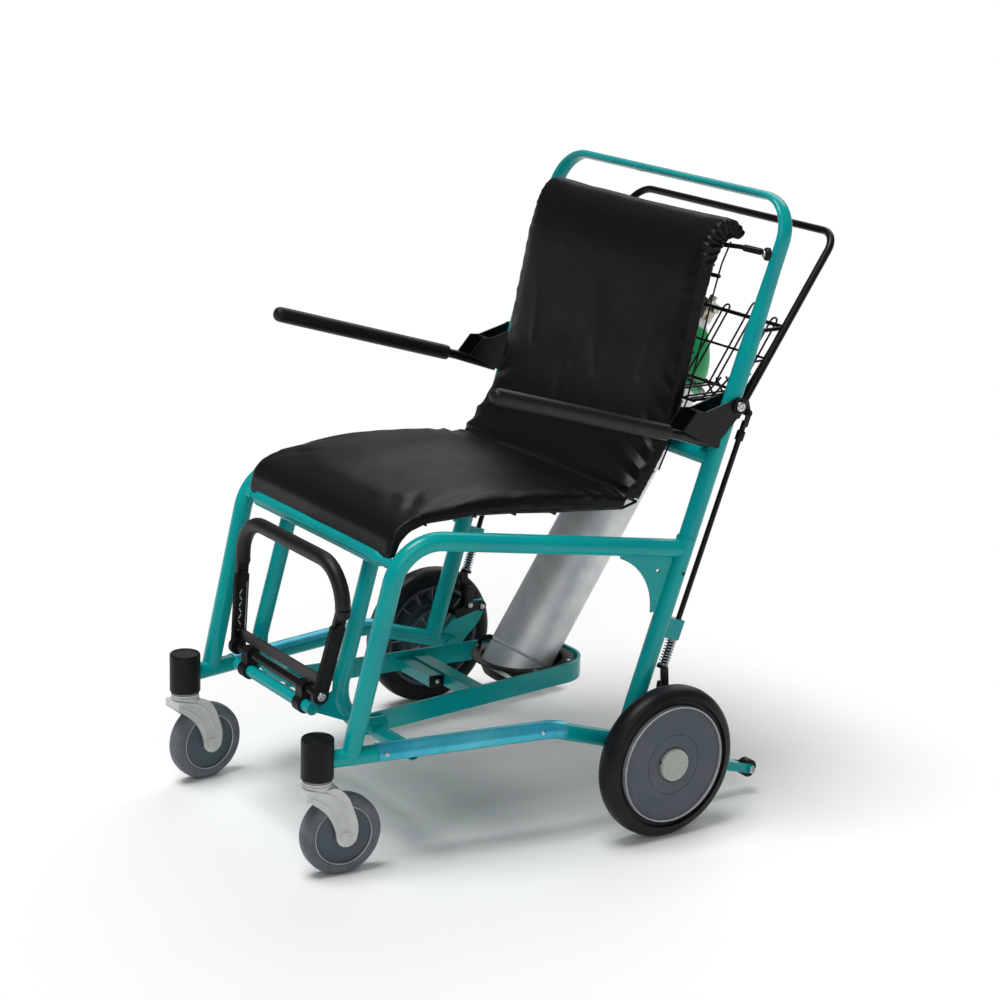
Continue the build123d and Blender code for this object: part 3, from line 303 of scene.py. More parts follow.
# closed-cell foam sleeve with its own skin: matt black, pebbled, slightly grey where light grazes it
grip_foam, tree, skin, coords = surface("skinned_foam_black", "#121213", 0.45, Specular_IOR_Level=0.3)
mottle(tree, skin, coords, 55, "#0F0F10", "#161618")
pebble = put(tree, "ShaderNodeTexVoronoi", {"Scale": 650}, {"Vector": coords})
put(
    tree, "ShaderNodeBump", {"Strength": 0.5, "Distance": 0.12 * MM}, {"Height": pebble.outputs["Distance"]},
    {"Normal": skin.inputs["Normal"]},
)

# plasticised PVC upholstery cloth, embossed with a leather grain about 1.2 mm across, with a soft sheen
vinyl, tree, skin, coords = surface("upholstery_vinyl_black", "#08080A", 0.4, Specular_IOR_Level=0.22)
mottle(tree, skin, coords, 7, "#060608", "#0A0A0C", detail=5)
bend_grain = put(tree, "ShaderNodeTexNoise", {"Scale": 300, "Detail": 2}, {"Vector": coords})
shifted = put(
    tree, "ShaderNodeMix", {"data_type": "VECTOR", 0: 0.003}, {4: coords, 5: bend_grain.outputs["Color"]}
)
grain = put(
    tree, "ShaderNodeTexVoronoi", {"Scale": 820, "feature": "DISTANCE_TO_EDGE"},
    {"Vector": shifted.outputs[1]}
)
put(
    tree, "ShaderNodeBump", {"Strength": 0.55, "Distance": 0.16 * MM}, {"Height": grain.outputs["Distance"]},
    {"Normal": skin.inputs["Normal"]},
)

# zinc-aluminium die casting under pale grey enamel: slightly pebbled, half gloss
caster_grey, tree, skin, coords = surface(
    "enamelled_casting_grey", "#C6C9C6", 0.36, Coat_Weight=0.2, Coat_Roughness=0.2
)
mottle(tree, skin, coords, 25, "#BEC1BE", "#CED1CE")
cast = put(tree, "ShaderNodeTexNoise", {"Scale": 500, "Detail": 3}, {"Vector": coords})
put(
    tree, "ShaderNodeBump", {"Strength": 0.35, "Distance": 0.1 * MM}, {"Height": cast.outputs["Fac"]},
    {"Normal": skin.inputs["Normal"]},
)

# polypropylene wheel centre, slate grey, fine moulding texture
wheel_grey, tree, skin, coords = surface("moulded_wheel_slate", "#4A535B", 0.42, Specular_IOR_Level=0.3)
mottle(tree, skin, coords, 18, "#455058", "#4F585F")
mould = put(tree, "ShaderNodeTexNoise", {"Scale": 700, "Detail": 2}, {"Vector": coords})
put(
    tree, "ShaderNodeBump", {"Strength": 0.4, "Distance": 0.05 * MM}, {"Height": mould.outputs["Fac"]},
    {"Normal": skin.inputs["Normal"]},
)

# solid polyurethane tyre: dark grey, dull, with dust in the tread
tyre_rubber, tree, skin, coords = surface("polyurethane_tyre_dark", "#141518", 0.4, Specular_IOR_Level=0.18)
mottle(tree, skin, coords, 30, "#111215", "#18191C")
mould = put(tree, "ShaderNodeTexNoise", {"Scale": 600, "Detail": 3}, {"Vector": coords})
put(
    tree, "ShaderNodeBump", {"Strength": 0.4, "Distance": 0.08 * MM}, {"Height": mould.outputs["Fac"]},
    {"Normal": skin.inputs["Normal"]},
)

# zinc-plated steel, clear passivated: bright metal, lightly streaked by the plating barrel
zinc, tree, skin, coords = surface("zinc_plated_steel", "#B9BCBF", 0.28, 1.0)
mottle(tree, skin, coords, 150, "#A4A8AC", "#CDD0D2")

# spun aluminium shell, brushed round its girth, then a painted shoulder; the finish changes at the paint line
PAINT_FROM, PAINT_TO = 0.526, 0.632  # metres up the cylinder's own axis
cylinder_shell, tree, skin, coords = surface("brushed_aluminium_shell", "#DADCDE", 0.36, 1.0)
lined_up = put(
    tree, "ShaderNodeMapping",
    {"vector_type": "TEXTURE", "Location": (0, 0.063, 0.199), "Rotation": (-CYLINDER_LEAN, 0, 0)},
    {"Vector": coords}
)
up_axis = put(tree, "ShaderNodeSeparateXYZ", {}, {"Vector": lined_up.outputs["Vector"]})
stretched = put(tree, "ShaderNodeMapping", {"Scale": (4, 4, 700)}, {"Vector": lined_up.outputs["Vector"]})
brushing = put(
    tree, "ShaderNodeTexNoise", {"Scale": 1, "Detail": 6, "Roughness": 0.6},
    {"Vector": stretched.outputs["Vector"]}
)
rough = put(tree, "ShaderNodeMapRange", {"To Min": 0.38, "To Max": 0.52}, {"Value": brushing.outputs["Fac"]})
blotch = put(tree, "ShaderNodeTexNoise", {"Scale": 26, "Detail": 4}, {"Vector": coords})
bare = put(tree, "ShaderNodeValToRGB", {}, {"Fac": blotch.outputs["Fac"]})
bare.color_ramp.elements[0].position, bare.color_ramp.elements[0].color = 0.3, linear("#D2D5D7")
bare.color_ramp.elements[1].position, bare.color_ramp.elements[1].color = 0.7, linear("#EDEEEF")
painted = put(tree, "ShaderNodeMath", {"operation": "GREATER_THAN", 1: PAINT_FROM}, {0: up_axis.outputs["Z"]})
necked = put(tree, "ShaderNodeMath", {"operation": "LESS_THAN", 1: PAINT_TO}, {0: up_axis.outputs["Z"]})
green = put(
    tree, "ShaderNodeMath", {"operation": "MULTIPLY"},
    {0: painted.outputs["Value"], 1: necked.outputs["Value"]}
)
skin_colour = put(
    tree, "ShaderNodeMix", {"data_type": "RGBA", 7: linear("#14A45C")},
    {0: green.outputs["Value"], 6: bare.outputs["Color"]}
)
metal = put(
    tree, "ShaderNodeMath", {"operation": "SUBTRACT", 0: 0.4, "use_clamp": True}, {1: green.outputs["Value"]}
)
tree.links.new(skin_colour.outputs[2], skin.inputs["Base Color"])
tree.links.new(metal.outputs["Value"], skin.inputs["Metallic"])
tree.links.new(rough.outputs["Result"], skin.inputs["Roughness"])
put(
    tree, "ShaderNodeBump", {"Strength": 0.4, "Distance": 0.03 * MM}, {"Height": brushing.outputs["Fac"]},
    {"Normal": skin.inputs["Normal"]},
)

# nickel-plated brass valve: warm bright metal
valve_metal, tree, skin, coords = surface("plated_brass_valve", "#B8B4A8", 0.25, 1.0)
mottle(tree, skin, coords, 90, "#A8A497", "#C6C2B7")

FINISH = {
    "frame_paint": frame_paint,
    "guard_steel": guard_steel,
    "black_paint": black_paint,
    "black_plastic": black_plastic,
    "grip_foam": grip_foam,
    "vinyl": vinyl,
    "caster_grey": caster_grey,
    "wheel_grey": wheel_grey,
    "tyre": tyre_rubber,
    "zinc": zinc,
    "cylinder_shell": cylinder_shell,
    "valve_metal": valve_metal,
}
for row in frame["record"]["subparts"]:
    nodes[row["node"]].material_slots[0].material = FINISH[row["material_slot"]]

# further finishes of moulded trim; the pale ring finish is a painted highlight, standing for light caught on the thin
# ridges of the wheels
ridge_highlight_paint, tree, skin, coords = surface("wheel_ring_pale", "#A9ABAD", 0.35)
mottle(tree, skin, coords, 60, "#A0A2A4", "#B2B4B6")
cap_grey, tree, skin, coords = surface("hub_cap_stone", "#A6ABA2", 0.48)
mottle(tree, skin, coords, 160, "#A0A69D", "#ADB1A9", detail=5)
ribs_grey, tree, skin, coords = surface("drum_ribs_silver", "#8C9094", 0.4, 0.4)
mottle(tree, skin, coords, 90, "#7E8286", "#9A9DA0")
# soft grey caster tread: thermoplastic rubber, dull
caster_rubber, tree, skin, coords = surface("caster_tread_grey", "#5B6167", 0.45, Specular_IOR_Level=0.3)
mottle(tree, skin, coords, 45, "#555B61", "#62686E")
mould = put(tree, "ShaderNodeTexNoise", {"Scale": 600, "Detail": 3}, {"Vector": coords})
put(
    tree, "ShaderNodeBump", {"Strength": 0.4, "Distance": 0.06 * MM}, {"Height": mould.outputs["Fac"]},
    {"Normal": skin.inputs["Normal"]},
)

# ---- rear wheels: a slate disc in a dark tyre, with a pale hub cap outside and a ribbed drum inside
WHEEL_AT = at(352, 105, 125)
core_rings = [
    (8.1, -27.5), (22, -27.5), (22, -25), (51, -25), (52, -24), (52, -8), (60, -7), (70, 9),
    (86, 9), (87.5, -15),
    (88.5, -16), (93.8, -16), (94, -15), (94, 18), (92.6, 19.8), (90, 20.2), (50, 20.8),
    (49.5, 20.1), (48.9, 20.1),
    (48.4, 20.9), (30, 21.4), (28.6, 21), (28.2, 19.5), (8.1, 19.5), (8.1, -27.5),
]
tyre_rings = [
    (94.1, -16), (94.1, 15), (96, 15.4), (103.2, 16), (104.2, 17), (104.5, 21.8), (105.1, 22.4),
    (105.8, 22.3), (106.4, 21.9),
    (110, 21.5), (114.5, 20.2), (118.6, 17.4), (122, 12.8), (124.2, 7), (125, 0), (124.2, -7), (122, -12.2),
    (118.6, -16.2), (114, -18.8), (109, -20.1), (103, -20.4), (97.5, -19), (94.1, -16),
]
rim_ring_rings = [
    (93.2, 19), (93.3, 23), (93.9, 23.9), (94.8, 23.9), (95.4, 23.2), (95.6, 15.2), (93.2, 15.2), (93.2, 19)
]
cap_rings = [(26, 19.5), (26, 25.9), (25.5, 26.8), (24.4, 27.3), (22, 27.4), (10, 27.5), (0.5, 27.5)]
wheel_ribs = []
for step in range(16):
    rib = block("wheel_rib", (0, 76, -2), (2.2, 22, 21), 0.6)
    hold(rib)
    rib.rotation_euler = (0, 0, step * pi / 8)
    bpy.ops.object.transform_apply()
    wheel_ribs.append(rib)
for step in range(10):
    rib = block("drum_rib", (0, 43, -25.4), (3.4, 17, 1.6), 0.5)
    hold(rib)
    rib.rotation_euler = (0, 0, step * pi / 5)
    bpy.ops.object.transform_apply()
    wheel_ribs.append(rib)
# two black blocks at the hub cap's rim stand for its notches: their black is painted shade of the notches
cap_notch_shades = [
    block("cap_slot", (26.6 * sin(turn), 26.6 * cos(turn), 21.2), (5, 2.4, 2), 0.4, (0, 0, -turn))
    for turn in (2.5, 5.0)
]
wheel_parts = (
    (
        turned("wheel_disc_left", core_rings, 96, closed=True), FINISH["wheel_grey"], "wheel_grey",
        ("rear_wheel_left", "wheel_drum_left")
    ),
    (turned("wheel_tyre_left", tyre_rings, 96, closed=True), FINISH["tyre"], "tyre", ("rear_tyre_left",)),
    # the thin ridge between tyre and disc is painted pale, as a highlight
    (turned("wheel_ring_left", rim_ring_rings, 96, closed=True), ridge_highlight_paint, "wheel_grey", ()),
    (turned("hub_cap_left", cap_rings, 64), cap_grey, "wheel_grey", ()),
    (joined("wheel_ribs_left", wheel_ribs), ribs_grey, "wheel_grey", ()),
    # the black of these notch blocks is painted shade
    (joined("cap_slots_left", cap_notch_shades), FINISH["black_plastic"], "black_plastic", ()),
)
for part, finish, slot, stands_for in wheel_parts:
    settle(part, WHEEL_AT, (1, 0, 0))
    twin = copied(part, part.name.replace("left", "right"), mirror=True)
    fit(part, finish, slot, "wheel_left", *stands_for)
    fit(twin, finish, slot, "wheel_right", *[n.replace("left", "right") for n in stands_for])

# ---- casters: tyre, wheel centre and a ridge between them painted pale as a highlight; the cast fork keeps its CAD shape and gains ribs
yaw = radians(6.5)
ALONG, ACROSS = Vector((sin(yaw), cos(yaw), 0)), Vector((cos(yaw), -sin(yaw), 0))
STEM = at(217, -453, 0)


def in_fork(along, height, across=0.0):
    """A place in the caster fork's own plane, in millimetres from the stem's foot on the floor."""
    return tuple((STEM + ALONG * along * MM + ACROSS * across * MM + Vector((0, 0, height * MM))) / MM)


caster_tyre_rings = [
    (46.6, -14), (46.6, 13.6), (47.8, 15), (50, 15.6), (53, 15.6), (57.5, 15), (61.2, 13),
    (63.8, 9.4), (65, 4), (65, -4),
    (63.8, -9.4), (61.2, -13), (57.5, -15), (53, -15.6), (50, -15.6), (47.8, -15), (46.6, -14),
]
caster_core_rings = [
    (4.2, -15.8), (12.6, -15.8), (13, -15.4), (13.4, -12.4), (40, -11), (44.6, -11.6),
    (45.2, -13.4), (46.6, -13.6),
    (46.6, 13.6), (45.2, 13.4), (44.6, 11.6), (40, 11), (13.4, 12.4), (13, 15.4), (12.6, 15.8), (4.2, 15.8),
    (4.2, -15.8),
]
caster_parts = [
    (
        turned("caster_tread_left", caster_tyre_rings, 72, closed=True), caster_rubber, "tyre",
        ("caster_tyre_left",)
    ),
    (
        turned("caster_centre_left", caster_core_rings, 72, closed=True), FINISH["wheel_grey"], "wheel_grey",
        ("caster_wheel_left",)
    ),
]
for face in (-1, 1):
    line_rings = [
        (45.6, 13.2), (45.7, 15), (46.3, 15.5), (47, 15.3), (47.3, 14.4), (46.4, 13.2), (45.6, 13.2)
    ]
    line = turned(
        f"caster_line_{'out' if face > 0 else 'in'}_left", [(r, h * face) for r, h in line_rings], 72,
        closed=True
    )
    # the ridges on both faces of the caster are painted pale, as a highlight
    caster_parts.append((line, ridge_highlight_paint, "wheel_grey", ()))
for part, finish, slot, stands_for in caster_parts:
    settle(part, at(*in_fork(38.5, 65)), ACROSS)
    twin = copied(part, part.name.replace("left", "right"), mirror=True)
    fit(part, finish, slot, "caster_roller_left", *stands_for)
    fit(twin, finish, slot, "caster_roller_right", *[n.replace("left", "right") for n in stands_for])

rib_line = [(-20, 144.5), (0, 142), (12, 138.5), (24, 129), (34, 115), (41, 98), (42, 84)]
fork_ribs = rods(
    "fork_ribs_left", [[in_fork(u, z, 20.1 * s) for u, z in rib_line] for s in (-1, 1)], 1.9, bend=14
)
fork_beads = rods(
    "fork_beads_left",
    [[in_fork(u, z, 20.1 * s)
      for u, z in [(-20, 138), (-4, 129), (8, 120), (17, 108), (24, 92), (28, 76)]]
     for s in (-1, 1)],
    1.1, bend=14
)
swivel_rings = [
    (19.4, 157.4), (19.8, 157.8), (19.8, 159.6), (19.4, 160), (8.4, 160), (8.4, 157.4), (19.4, 157.4)
]
washer = settle(turned("swivel_washer_left", swivel_rings, 64, closed=True), STEM, (0, 0, 1))
fork_trim = joined("fork_trim_left", [fork_ribs, fork_beads])
for part, finish, slot in (
    (fork_trim, FINISH["caster_grey"], "caster_grey"), (washer, FINISH["zinc"], "zinc")
):
    twin = copied(part, part.name.replace("left", "right"), mirror=True)
    fit(part, finish, slot, "caster_left")
    fit(twin, finish, slot, "caster_right")

# ---- foam grips: sleeves with a domed end on the armrests and round the footrest's hoop ----------
ARM_TIP, ARM_JOGGLE = Vector((324.5, -222, 748)), Vector((313.5, 125, 647))
grip_way = (ARM_TIP - ARM_JOGGLE).normalized()
grip_rings = [
    (9, 0), (11.6, 0), (12.7, 0.7), (13, 2.4), (12.9, 60), (13, 170), (12.9, 280), (13, 336),
    (12.6, 341), (11.4, 345),
    (9.2, 348), (6, 349.6), (3, 350), (0.4, 350),
]
grip = turned("arm_sleeve_left", grip_rings, 48)
hold(grip)
bpy.ops.object.modifier_add(type="SUBSURF")
grip.modifiers[-1].levels = grip.modifiers[-1].render_levels = 1
bpy.ops.object.modifier_apply(modifier=grip.modifiers[-1].name)
settle(grip, (ARM_TIP - grip_way * 342) * MM, grip_way)
twin = copied(grip, "arm_sleeve_right", mirror=True)
for side, part in (("left", grip), ("right", twin)):
    fit(part, FINISH["grip_foam"], "grip_foam", f"armrest_{side}", f"armrest_grip_{side}", angle=60)

hoop = [(159.7, -377.5, 398), (171.5, -377.5, 462), (-171.5, -377.5, 462), (-159.7, -377.5, 398)]
hoop_sleeve = rods("hoop_sleeve", [hoop], 12.2, bend=64, detail=6, smooth=10)
bpy.ops.object.mode_set(mode="EDIT")
bpy.ops.mesh.select_all(action="DESELECT")
bpy.ops.object.mode_set(mode="OBJECT")
for face in hoop_sleeve.data.polygons:
    face.select = len(face.vertices) > 4
bpy.ops.object.mode_set(mode="EDIT")
bpy.ops.mesh.inset(thickness=2.2 * MM)
bpy.ops.transform.translate(value=(0, 0, -1.2 * MM))
bpy.ops.object.mode_set(mode="OBJECT")
fit(hoop_sleeve, FINISH["grip_foam"], "grip_foam", "footrest", "footrest_grip", angle=50)

# ---- small hardware of the frame -----------------------------------------------------------------
def dome(name, place, direction, radius, height, sides=24):
    """A domed rivet or cap standing on a surface."""
    rings = [
        (radius, -1), (radius, height * 0.25), (radius * 0.92, height * 0.6), (radius * 0.7, height * 0.85),
        (radius * 0.4, height), (0.1, height)
    ]
    return settle(turned(name, rings, sides), at(*place), direction)


def socket_screw(name, place, direction, radius, height):
    """A button-headed screw with a hexagon socket sunk into its head."""
    rings = [
        (radius, -0.5), (radius, height * 0.3), (radius * 0.93, height * 0.65),
        (radius * 0.75, height * 0.92), (radius * 0.5, height)
    ]
    screw = turned(name, rings, 24)
    hold(screw)
    bpy.ops.object.mode_set(mode="EDIT")
    bpy.ops.mesh.select_all(action="DESELECT")
    bpy.ops.object.mode_set(mode="OBJECT")
    for face in screw.data.polygons:
        face.select = face.normal.z > 0.9 and len(face.vertices) > 4
    bpy.ops.object.mode_set(mode="EDIT")
    bpy.ops.mesh.inset(thickness=radius * 0.08 * MM)
    bpy.ops.mesh.extrude_region_move(TRANSFORM_OT_translate={"value": (0, 0, -height * 0.6 * MM)})
    bpy.ops.object.mode_set(mode="OBJECT")
    return settle(screw, at(*place), direction)


outward = Vector((0.985, -0.169, 0.12))
for side, sign in SIDES.items():
    rivets = [
        dome(f"guard_rivet_{n}_{side}", (sign * x, y, z), (sign * outward.x, outward.y, outward.z), 3.6, 2)
        for n, (x, y, z) in (("front", (250.6, -350.8, 188.9)), ("rear", (294.8, -93.6, 189.6)))
    ]
    for rivet in rivets:
        fit(rivet, FINISH["zinc"], "zinc", "frame")
    plug = dome(f"upright_plug_{side}", (sign * 306.2, 159, 414), (sign * 1, 0.2, 0), 3.4, 1)
    fit(plug, FINISH["black_plastic"], "black_plastic", "frame")
    end_screw = socket_screw(f"pivot_screw_{side}", (sign * 138, -401.5, 255), (sign, 0, 0), 7.5, 4.5)
    fit(end_screw, FINISH["zinc"], "zinc", "footrest")

# ---- wire basket behind the back: bars round its rim and floor, and hairpins that stand above the rim
BASKET_REAR = ((302.5, 681.0), (339.5, 735.0), (371.5, 784.0))
wall_up = Vector(
    (0, BASKET_REAR[2][0] - BASKET_REAR[0][0], BASKET_REAR[2][1] - BASKET_REAR[0][1])
).normalized()
bars = []
for (y, z), thick in zip(BASKET_REAR, (2.6, 2.0, 3.4)):
    near = [(256, 203.4, z)]
    if z > 700:  # these stay inside the brake bar's leg as it swings, then turn out to the upright's inner face
        upright_y = 24 + 0.3183 * z
        near = [(270, upright_y + 25, z), (289, upright_y + 8, z)]
    far = [(-x, depth, height) for x, depth, height in reversed(near)]
    bars.append(rods("basket_bar", [[*far, (-270, y, z), (270, y, z), *near]], thick, bend=9, detail=4))
bars.append(rods("basket_front_bar", [[(-256, 203.4, 679), (256, 203.4, 679)]], 2.5))
pins = []
for step in range(-4, 5):
    x = 60 * step
    rise = wall_up * (24 if abs(step) == 3 else 9)
    top = (368.5 + rise.y, 787 + rise.z)
    pins.append([
        (x - 7, 203.4, 682), (x - 7, 298.5, 682), (x - 7, *top), (x + 7, *top),
        (x + 7, 298.5, 682), (x + 7, 203.4, 682)
    ])
for sign in (-1, 1):
    for x in (263, 267.5):
        pins.append([(sign * (x - 4), 300, 684), (sign * x, 371.5, 786)])
    for low in (216, 236, 256, 276):
        pins.append([(sign * 257, low, 682), (sign * 262, low + 34, 714)])
        pins.append([(sign * 257, low + 26, 682), (sign * 262, low + 4, 714)])
bars.append(rods("basket_pins", pins, 1.7, bend=6.9))
ring = settle(
    turned("basket_ring", [(57, 0), (64, 0), (64, 4), (57, 4), (57, 0)], 64, closed=True),
    at(0, 355.5, 649.4), CYLINDER_WAY
)
fit(joined("basket_wires", bars + [ring]), FINISH["black_paint"], "black_paint", "frame", "basket", angle=60)

# ---- trim of the back shell: fine wires behind the pad's edges, and the sleeved arms bolted to the uprights
trim = []
for sign in (-1, 1):
    trim.append(
        rods("edge_wire", [[(sign * 231, 158, 566), (sign * 233, 206, 674),
            (sign * 234, 246, 838), (sign * 233, 262, 890), (sign * 226, 284, 922)]], 1.5, bend=30)
    )
    trim.append(rods("stub_bar", [[(sign * 196, 250, 872), (sign * 241, 252, 872)]], 3.4))
    trim.append(rods("arm_tube", [[(sign * 256, 287, 917.4), (sign * 284, 299, 914.6)]], 5.6))
fit(joined("shell_trim", trim), FINISH["black_paint"], "black_paint", "frame", angle=60)
for side, sign in SIDES.items():
    collar = settle(
        turned(f"arm_collar_{side}", [(9.5, -3), (10.5, -2), (10.5, 3), (9, 5.5), (6, 6.5), (1, 6.5)], 32),
        at(sign * 297.5, 301, 913), (-sign * 0.35, -0.93, 0.05)
    )
    fit(collar, FINISH["black_plastic"], "black_plastic", "frame")
    head = dome(f"arm_bolt_{side}", (sign * 295.2, 295.2, 913.3), (-sign * 0.35, -0.93, 0.05), 6, 3.4)
    fit(head, FINISH["zinc"], "zinc", "frame")

# ---- caster sockets: a moulded sleeve with a rolled top, over the fork's stacked crown rings -----
sleeve_rings = [
    (22, 160), (24.6, 160.2), (25.2, 161), (25.2, 221.5), (24.8, 223.4), (23.6, 224.6),
    (22, 224.8), (20.8, 224.2),
    (20.2, 223.2), (10, 223.4), (0.5, 223.5),
]
crown_rings = [
    (20, 148), (22.4, 148.4), (22.9, 149), (22.9, 151.6), (21.4, 152), (21.4, 153), (22.9, 153.4),
    (22.9, 156), (22.4, 156.6), (18, 157)
]
sleeve = settle(turned("socket_sleeve_left", sleeve_rings), STEM, (0, 0, 1))
twin = copied(sleeve, "socket_sleeve_right", mirror=True)
fit(sleeve, FINISH["black_plastic"], "black_plastic", "frame", "caster_socket_left")
fit(twin, FINISH["black_plastic"], "black_plastic", "frame", "caster_socket_right")
crown = settle(turned("fork_crown_left", crown_rings), STEM, (0, 0, 1))
twin = copied(crown, "fork_crown_right", mirror=True)
fit(crown, FINISH["caster_grey"], "caster_grey", "caster_left")
fit(twin, FINISH["caster_grey"], "caster_grey", "caster_right")

# ---- bolts that show on the brake plates, the anti-tip rollers and the armrest pivots ------------
LEVER_PIN, LEVER_PIVOT = (145, 194), (171, 188)
for side, sign in SIDES.items():
    for name, pin in (("pin", LEVER_PIN), ("pivot", LEVER_PIVOT)):
        bolt_head = dome(f"lever_{name}_head_{side}", (sign * 277.4, *pin), (-sign, 0, 0), 5.4, 3)
        fit(bolt_head, FINISH["zinc"], "zinc", f"lever_{side}")
    shank = block(f"lever_cheek_{side}", (sign * 278.9, 140, 186), (3, 52, 17), 1.2, (radians(13), 0, 0))
    neck = block(f"lever_neck_{side}", (sign * 278.9, 143.5, 208), (3, 15, 42), 1.2, (radians(-8), 0, 0))
    boss = settle(
        turned("boss", [(9, 0), (9, 2.4), (8.4, 3)], 32), at(sign * 277.4, *LEVER_PIVOT), (sign, 0, 0)
    )
    fit(
        joined(f"lever_cheek_{side}", [shank, neck, boss]), FINISH["black_paint"], "black_paint",
        f"lever_{side}"
    )
    tip_head = socket_screw(f"tip_bolt_{side}", (sign * 301, 331, 45), (sign, 0, 0), 6.4, 3.4)
    fit(tip_head, FINISH["zinc"], "zinc", "frame")
    arm_ring = turned(
        f"arm_pivot_ring_{side}",
        [(9.6, 0), (12.8, 0), (12.8, 3.4), (12, 4.2), (10.4, 4.2), (9.6, 3.4), (9.6, 0)], 40, closed=True
    )
    settle(arm_ring, at(sign * 321.2, 240.8, 681), (sign, 0, 0))
    fit(arm_ring, FINISH["black_plastic"], "black_plastic", f"armrest_{side}")
    arm_head = socket_screw(f"arm_pivot_head_{side}", (sign * 325.8, 240.8, 681), (sign, 0, 0), 8.2, 2.6)
    fit(arm_head, FINISH["zinc"], "zinc", "frame")

# ---- brake springs: a coil with flat ground ends, and the black knuckle at the top of each rod ---
ROD_FOOT, ROD_TOP = Vector((289.2, 164.2, 324.3)), Vector((299.4, 277, 661))
rod_way = (ROD_TOP - ROD_FOOT).normalized()
SPRING_TURNS, SPRING_HEIGHT = 9, 43.6
SPRING_R, SPRING_WIRE_R = 7.5, 1.15
SPRING_SEAT = 68.8  # down the rod's line from ROD_FOOT to the spring's lower end
deselect()
bpy.ops.mesh.primitive_circle_add(
    vertices=12, radius=SPRING_WIRE_R * MM, location=at(SPRING_R, 0, 0), rotation=(pi / 2, 0, 0)
)
coil = bpy.context.object
coil.name = coil.data.name = "brake_coil_left"
bpy.ops.object.transform_apply()
bpy.ops.object.modifier_add(type="SCREW")
screw = coil.modifiers[-1]
screw.iterations, screw.screw_offset = SPRING_TURNS, SPRING_HEIGHT / SPRING_TURNS * MM
screw.steps = screw.render_steps = 24
bpy.ops.object.modifier_apply(modifier=screw.name)
wire_ring = [(SPRING_R + SPRING_WIRE_R * cos(k * pi / 6), SPRING_WIRE_R * sin(k * pi / 6)) for k in range(13)]
ground = [
    turned("ground_end", [(r, z + lift) for r, z in wire_ring], 32, closed=True)
    for lift in (0, SPRING_HEIGHT)
]
coil = joined("brake_coil_left", [coil] + ground)
bpy.ops.object.mode_set(mode="EDIT")
bpy.ops.mesh.select_all(action="SELECT")
bpy.ops.mesh.normals_make_consistent(inside=False)
bpy.ops.object.mode_set(mode="OBJECT")
settle(coil, (ROD_FOOT - rod_way * SPRING_SEAT) * MM, rod_way)
knuckle_rings = [(3.4, 0), (6.6, 0.4), (7, 1), (7, 15), (6.2, 16.4), (3.6, 17)]
knuckle = settle(turned("rod_knuckle_left", knuckle_rings, 32), (ROD_TOP - rod_way * 46) * MM, rod_way)
for part, finish, slot, body, stands_for in (
    (coil, FINISH["zinc"], "zinc", "frame", ["brake_spring_left"]), (
        knuckle, FINISH["black_plastic"], "black_plastic", "rod_left", []
    ),
):
    twin = copied(part, part.name.replace("left", "right"), mirror=True)
    fit(part, finish, slot, body, *stands_for)
    fit(twin, finish, slot, body.replace("left", "right"), *[n.replace("left", "right") for n in stands_for])

# each spring's top bears on its guide, and the rod shortens it from below as the brake bar is squeezed; here each
# coil only gets a mesh of its own, and the spring's top and line are worked out but not used
for side, sign in SIDES.items():
    spring_top, spring_way = (ROD_FOOT - rod_way * (SPRING_SEAT - SPRING_HEIGHT)) * MM, Vector(rod_way)
    spring_top.x, spring_way.x = sign * spring_top.x, sign * spring_way.x
    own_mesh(bpy.data.objects[f"brake_coil_{side}"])

# ---- cylinder cup: a shallow bowl hung level in the loop, a low rim round the cylinder's foot, and its strap
bowl_rings = [
    (1, 163.2), (40, 163.4), (56, 166), (64, 172), (68, 182), (70, 194), (73, 197.4),
    (84.5, 197.4), (85.4, 198.4),
    (85, 199.8), (72, 200.4), (68.6, 198.6), (66, 190), (61, 176), (52, 170), (38, 168), (1, 167.8),
]
bowl = settle(turned("cup_bowl", bowl_rings, 72), at(0, 66.5, 0), (0, 0, 1))
strap = rods(
    "cup_strap", [[(-80, 34, 199), (-71, 30, 212), (-62, 44, 218), (-60, 60, 206)]], 4, bend=8, detail=4
)
fit(
    joined("cup_shell", [bowl, strap]), FINISH["black_plastic"], "black_plastic", "frame", "cylinder_cup",
    angle=40
)
# the cylinder's foot ends in a skirt cut level, so that the leaning shell stands in the bowl
skirt = settle(turned("foot_skirt", [(55.5, -44), (55.5, 1)], 96), at(0, 63, 199), CYLINDER_WAY)
hold(skirt)
bpy.ops.object.mode_set(mode="EDIT")
bpy.ops.mesh.select_all(action="SELECT")
bpy.ops.mesh.bisect(plane_co=at(0, 0, 181), plane_no=(0, 0, 1), use_fill=True, clear_inner=True)
bpy.ops.object.mode_set(mode="OBJECT")
fit(skirt, FINISH["cylinder_shell"], "cylinder_shell", "cylinder")
for n, (x, y) in enumerate([(-78, 30), (78, 40), (62, 118)]):
    cup_bolt = dome(f"cup_bolt_{n + 1}", (x, y, 199.6), (0, 0, 1), 4.2, 2.4)
    fit(cup_bolt, FINISH["zinc"], "zinc", "frame")
plug = block("stub_plug", (2, -104, 184), (6, 27.5, 19.5), 2)
fit(plug, FINISH["black_plastic"], "black_plastic", "frame")
fit(dome("stub_bolt", (5, -104, 184), (1, 0, 0), 4.4, 3), FINISH["zinc"], "zinc", "frame")

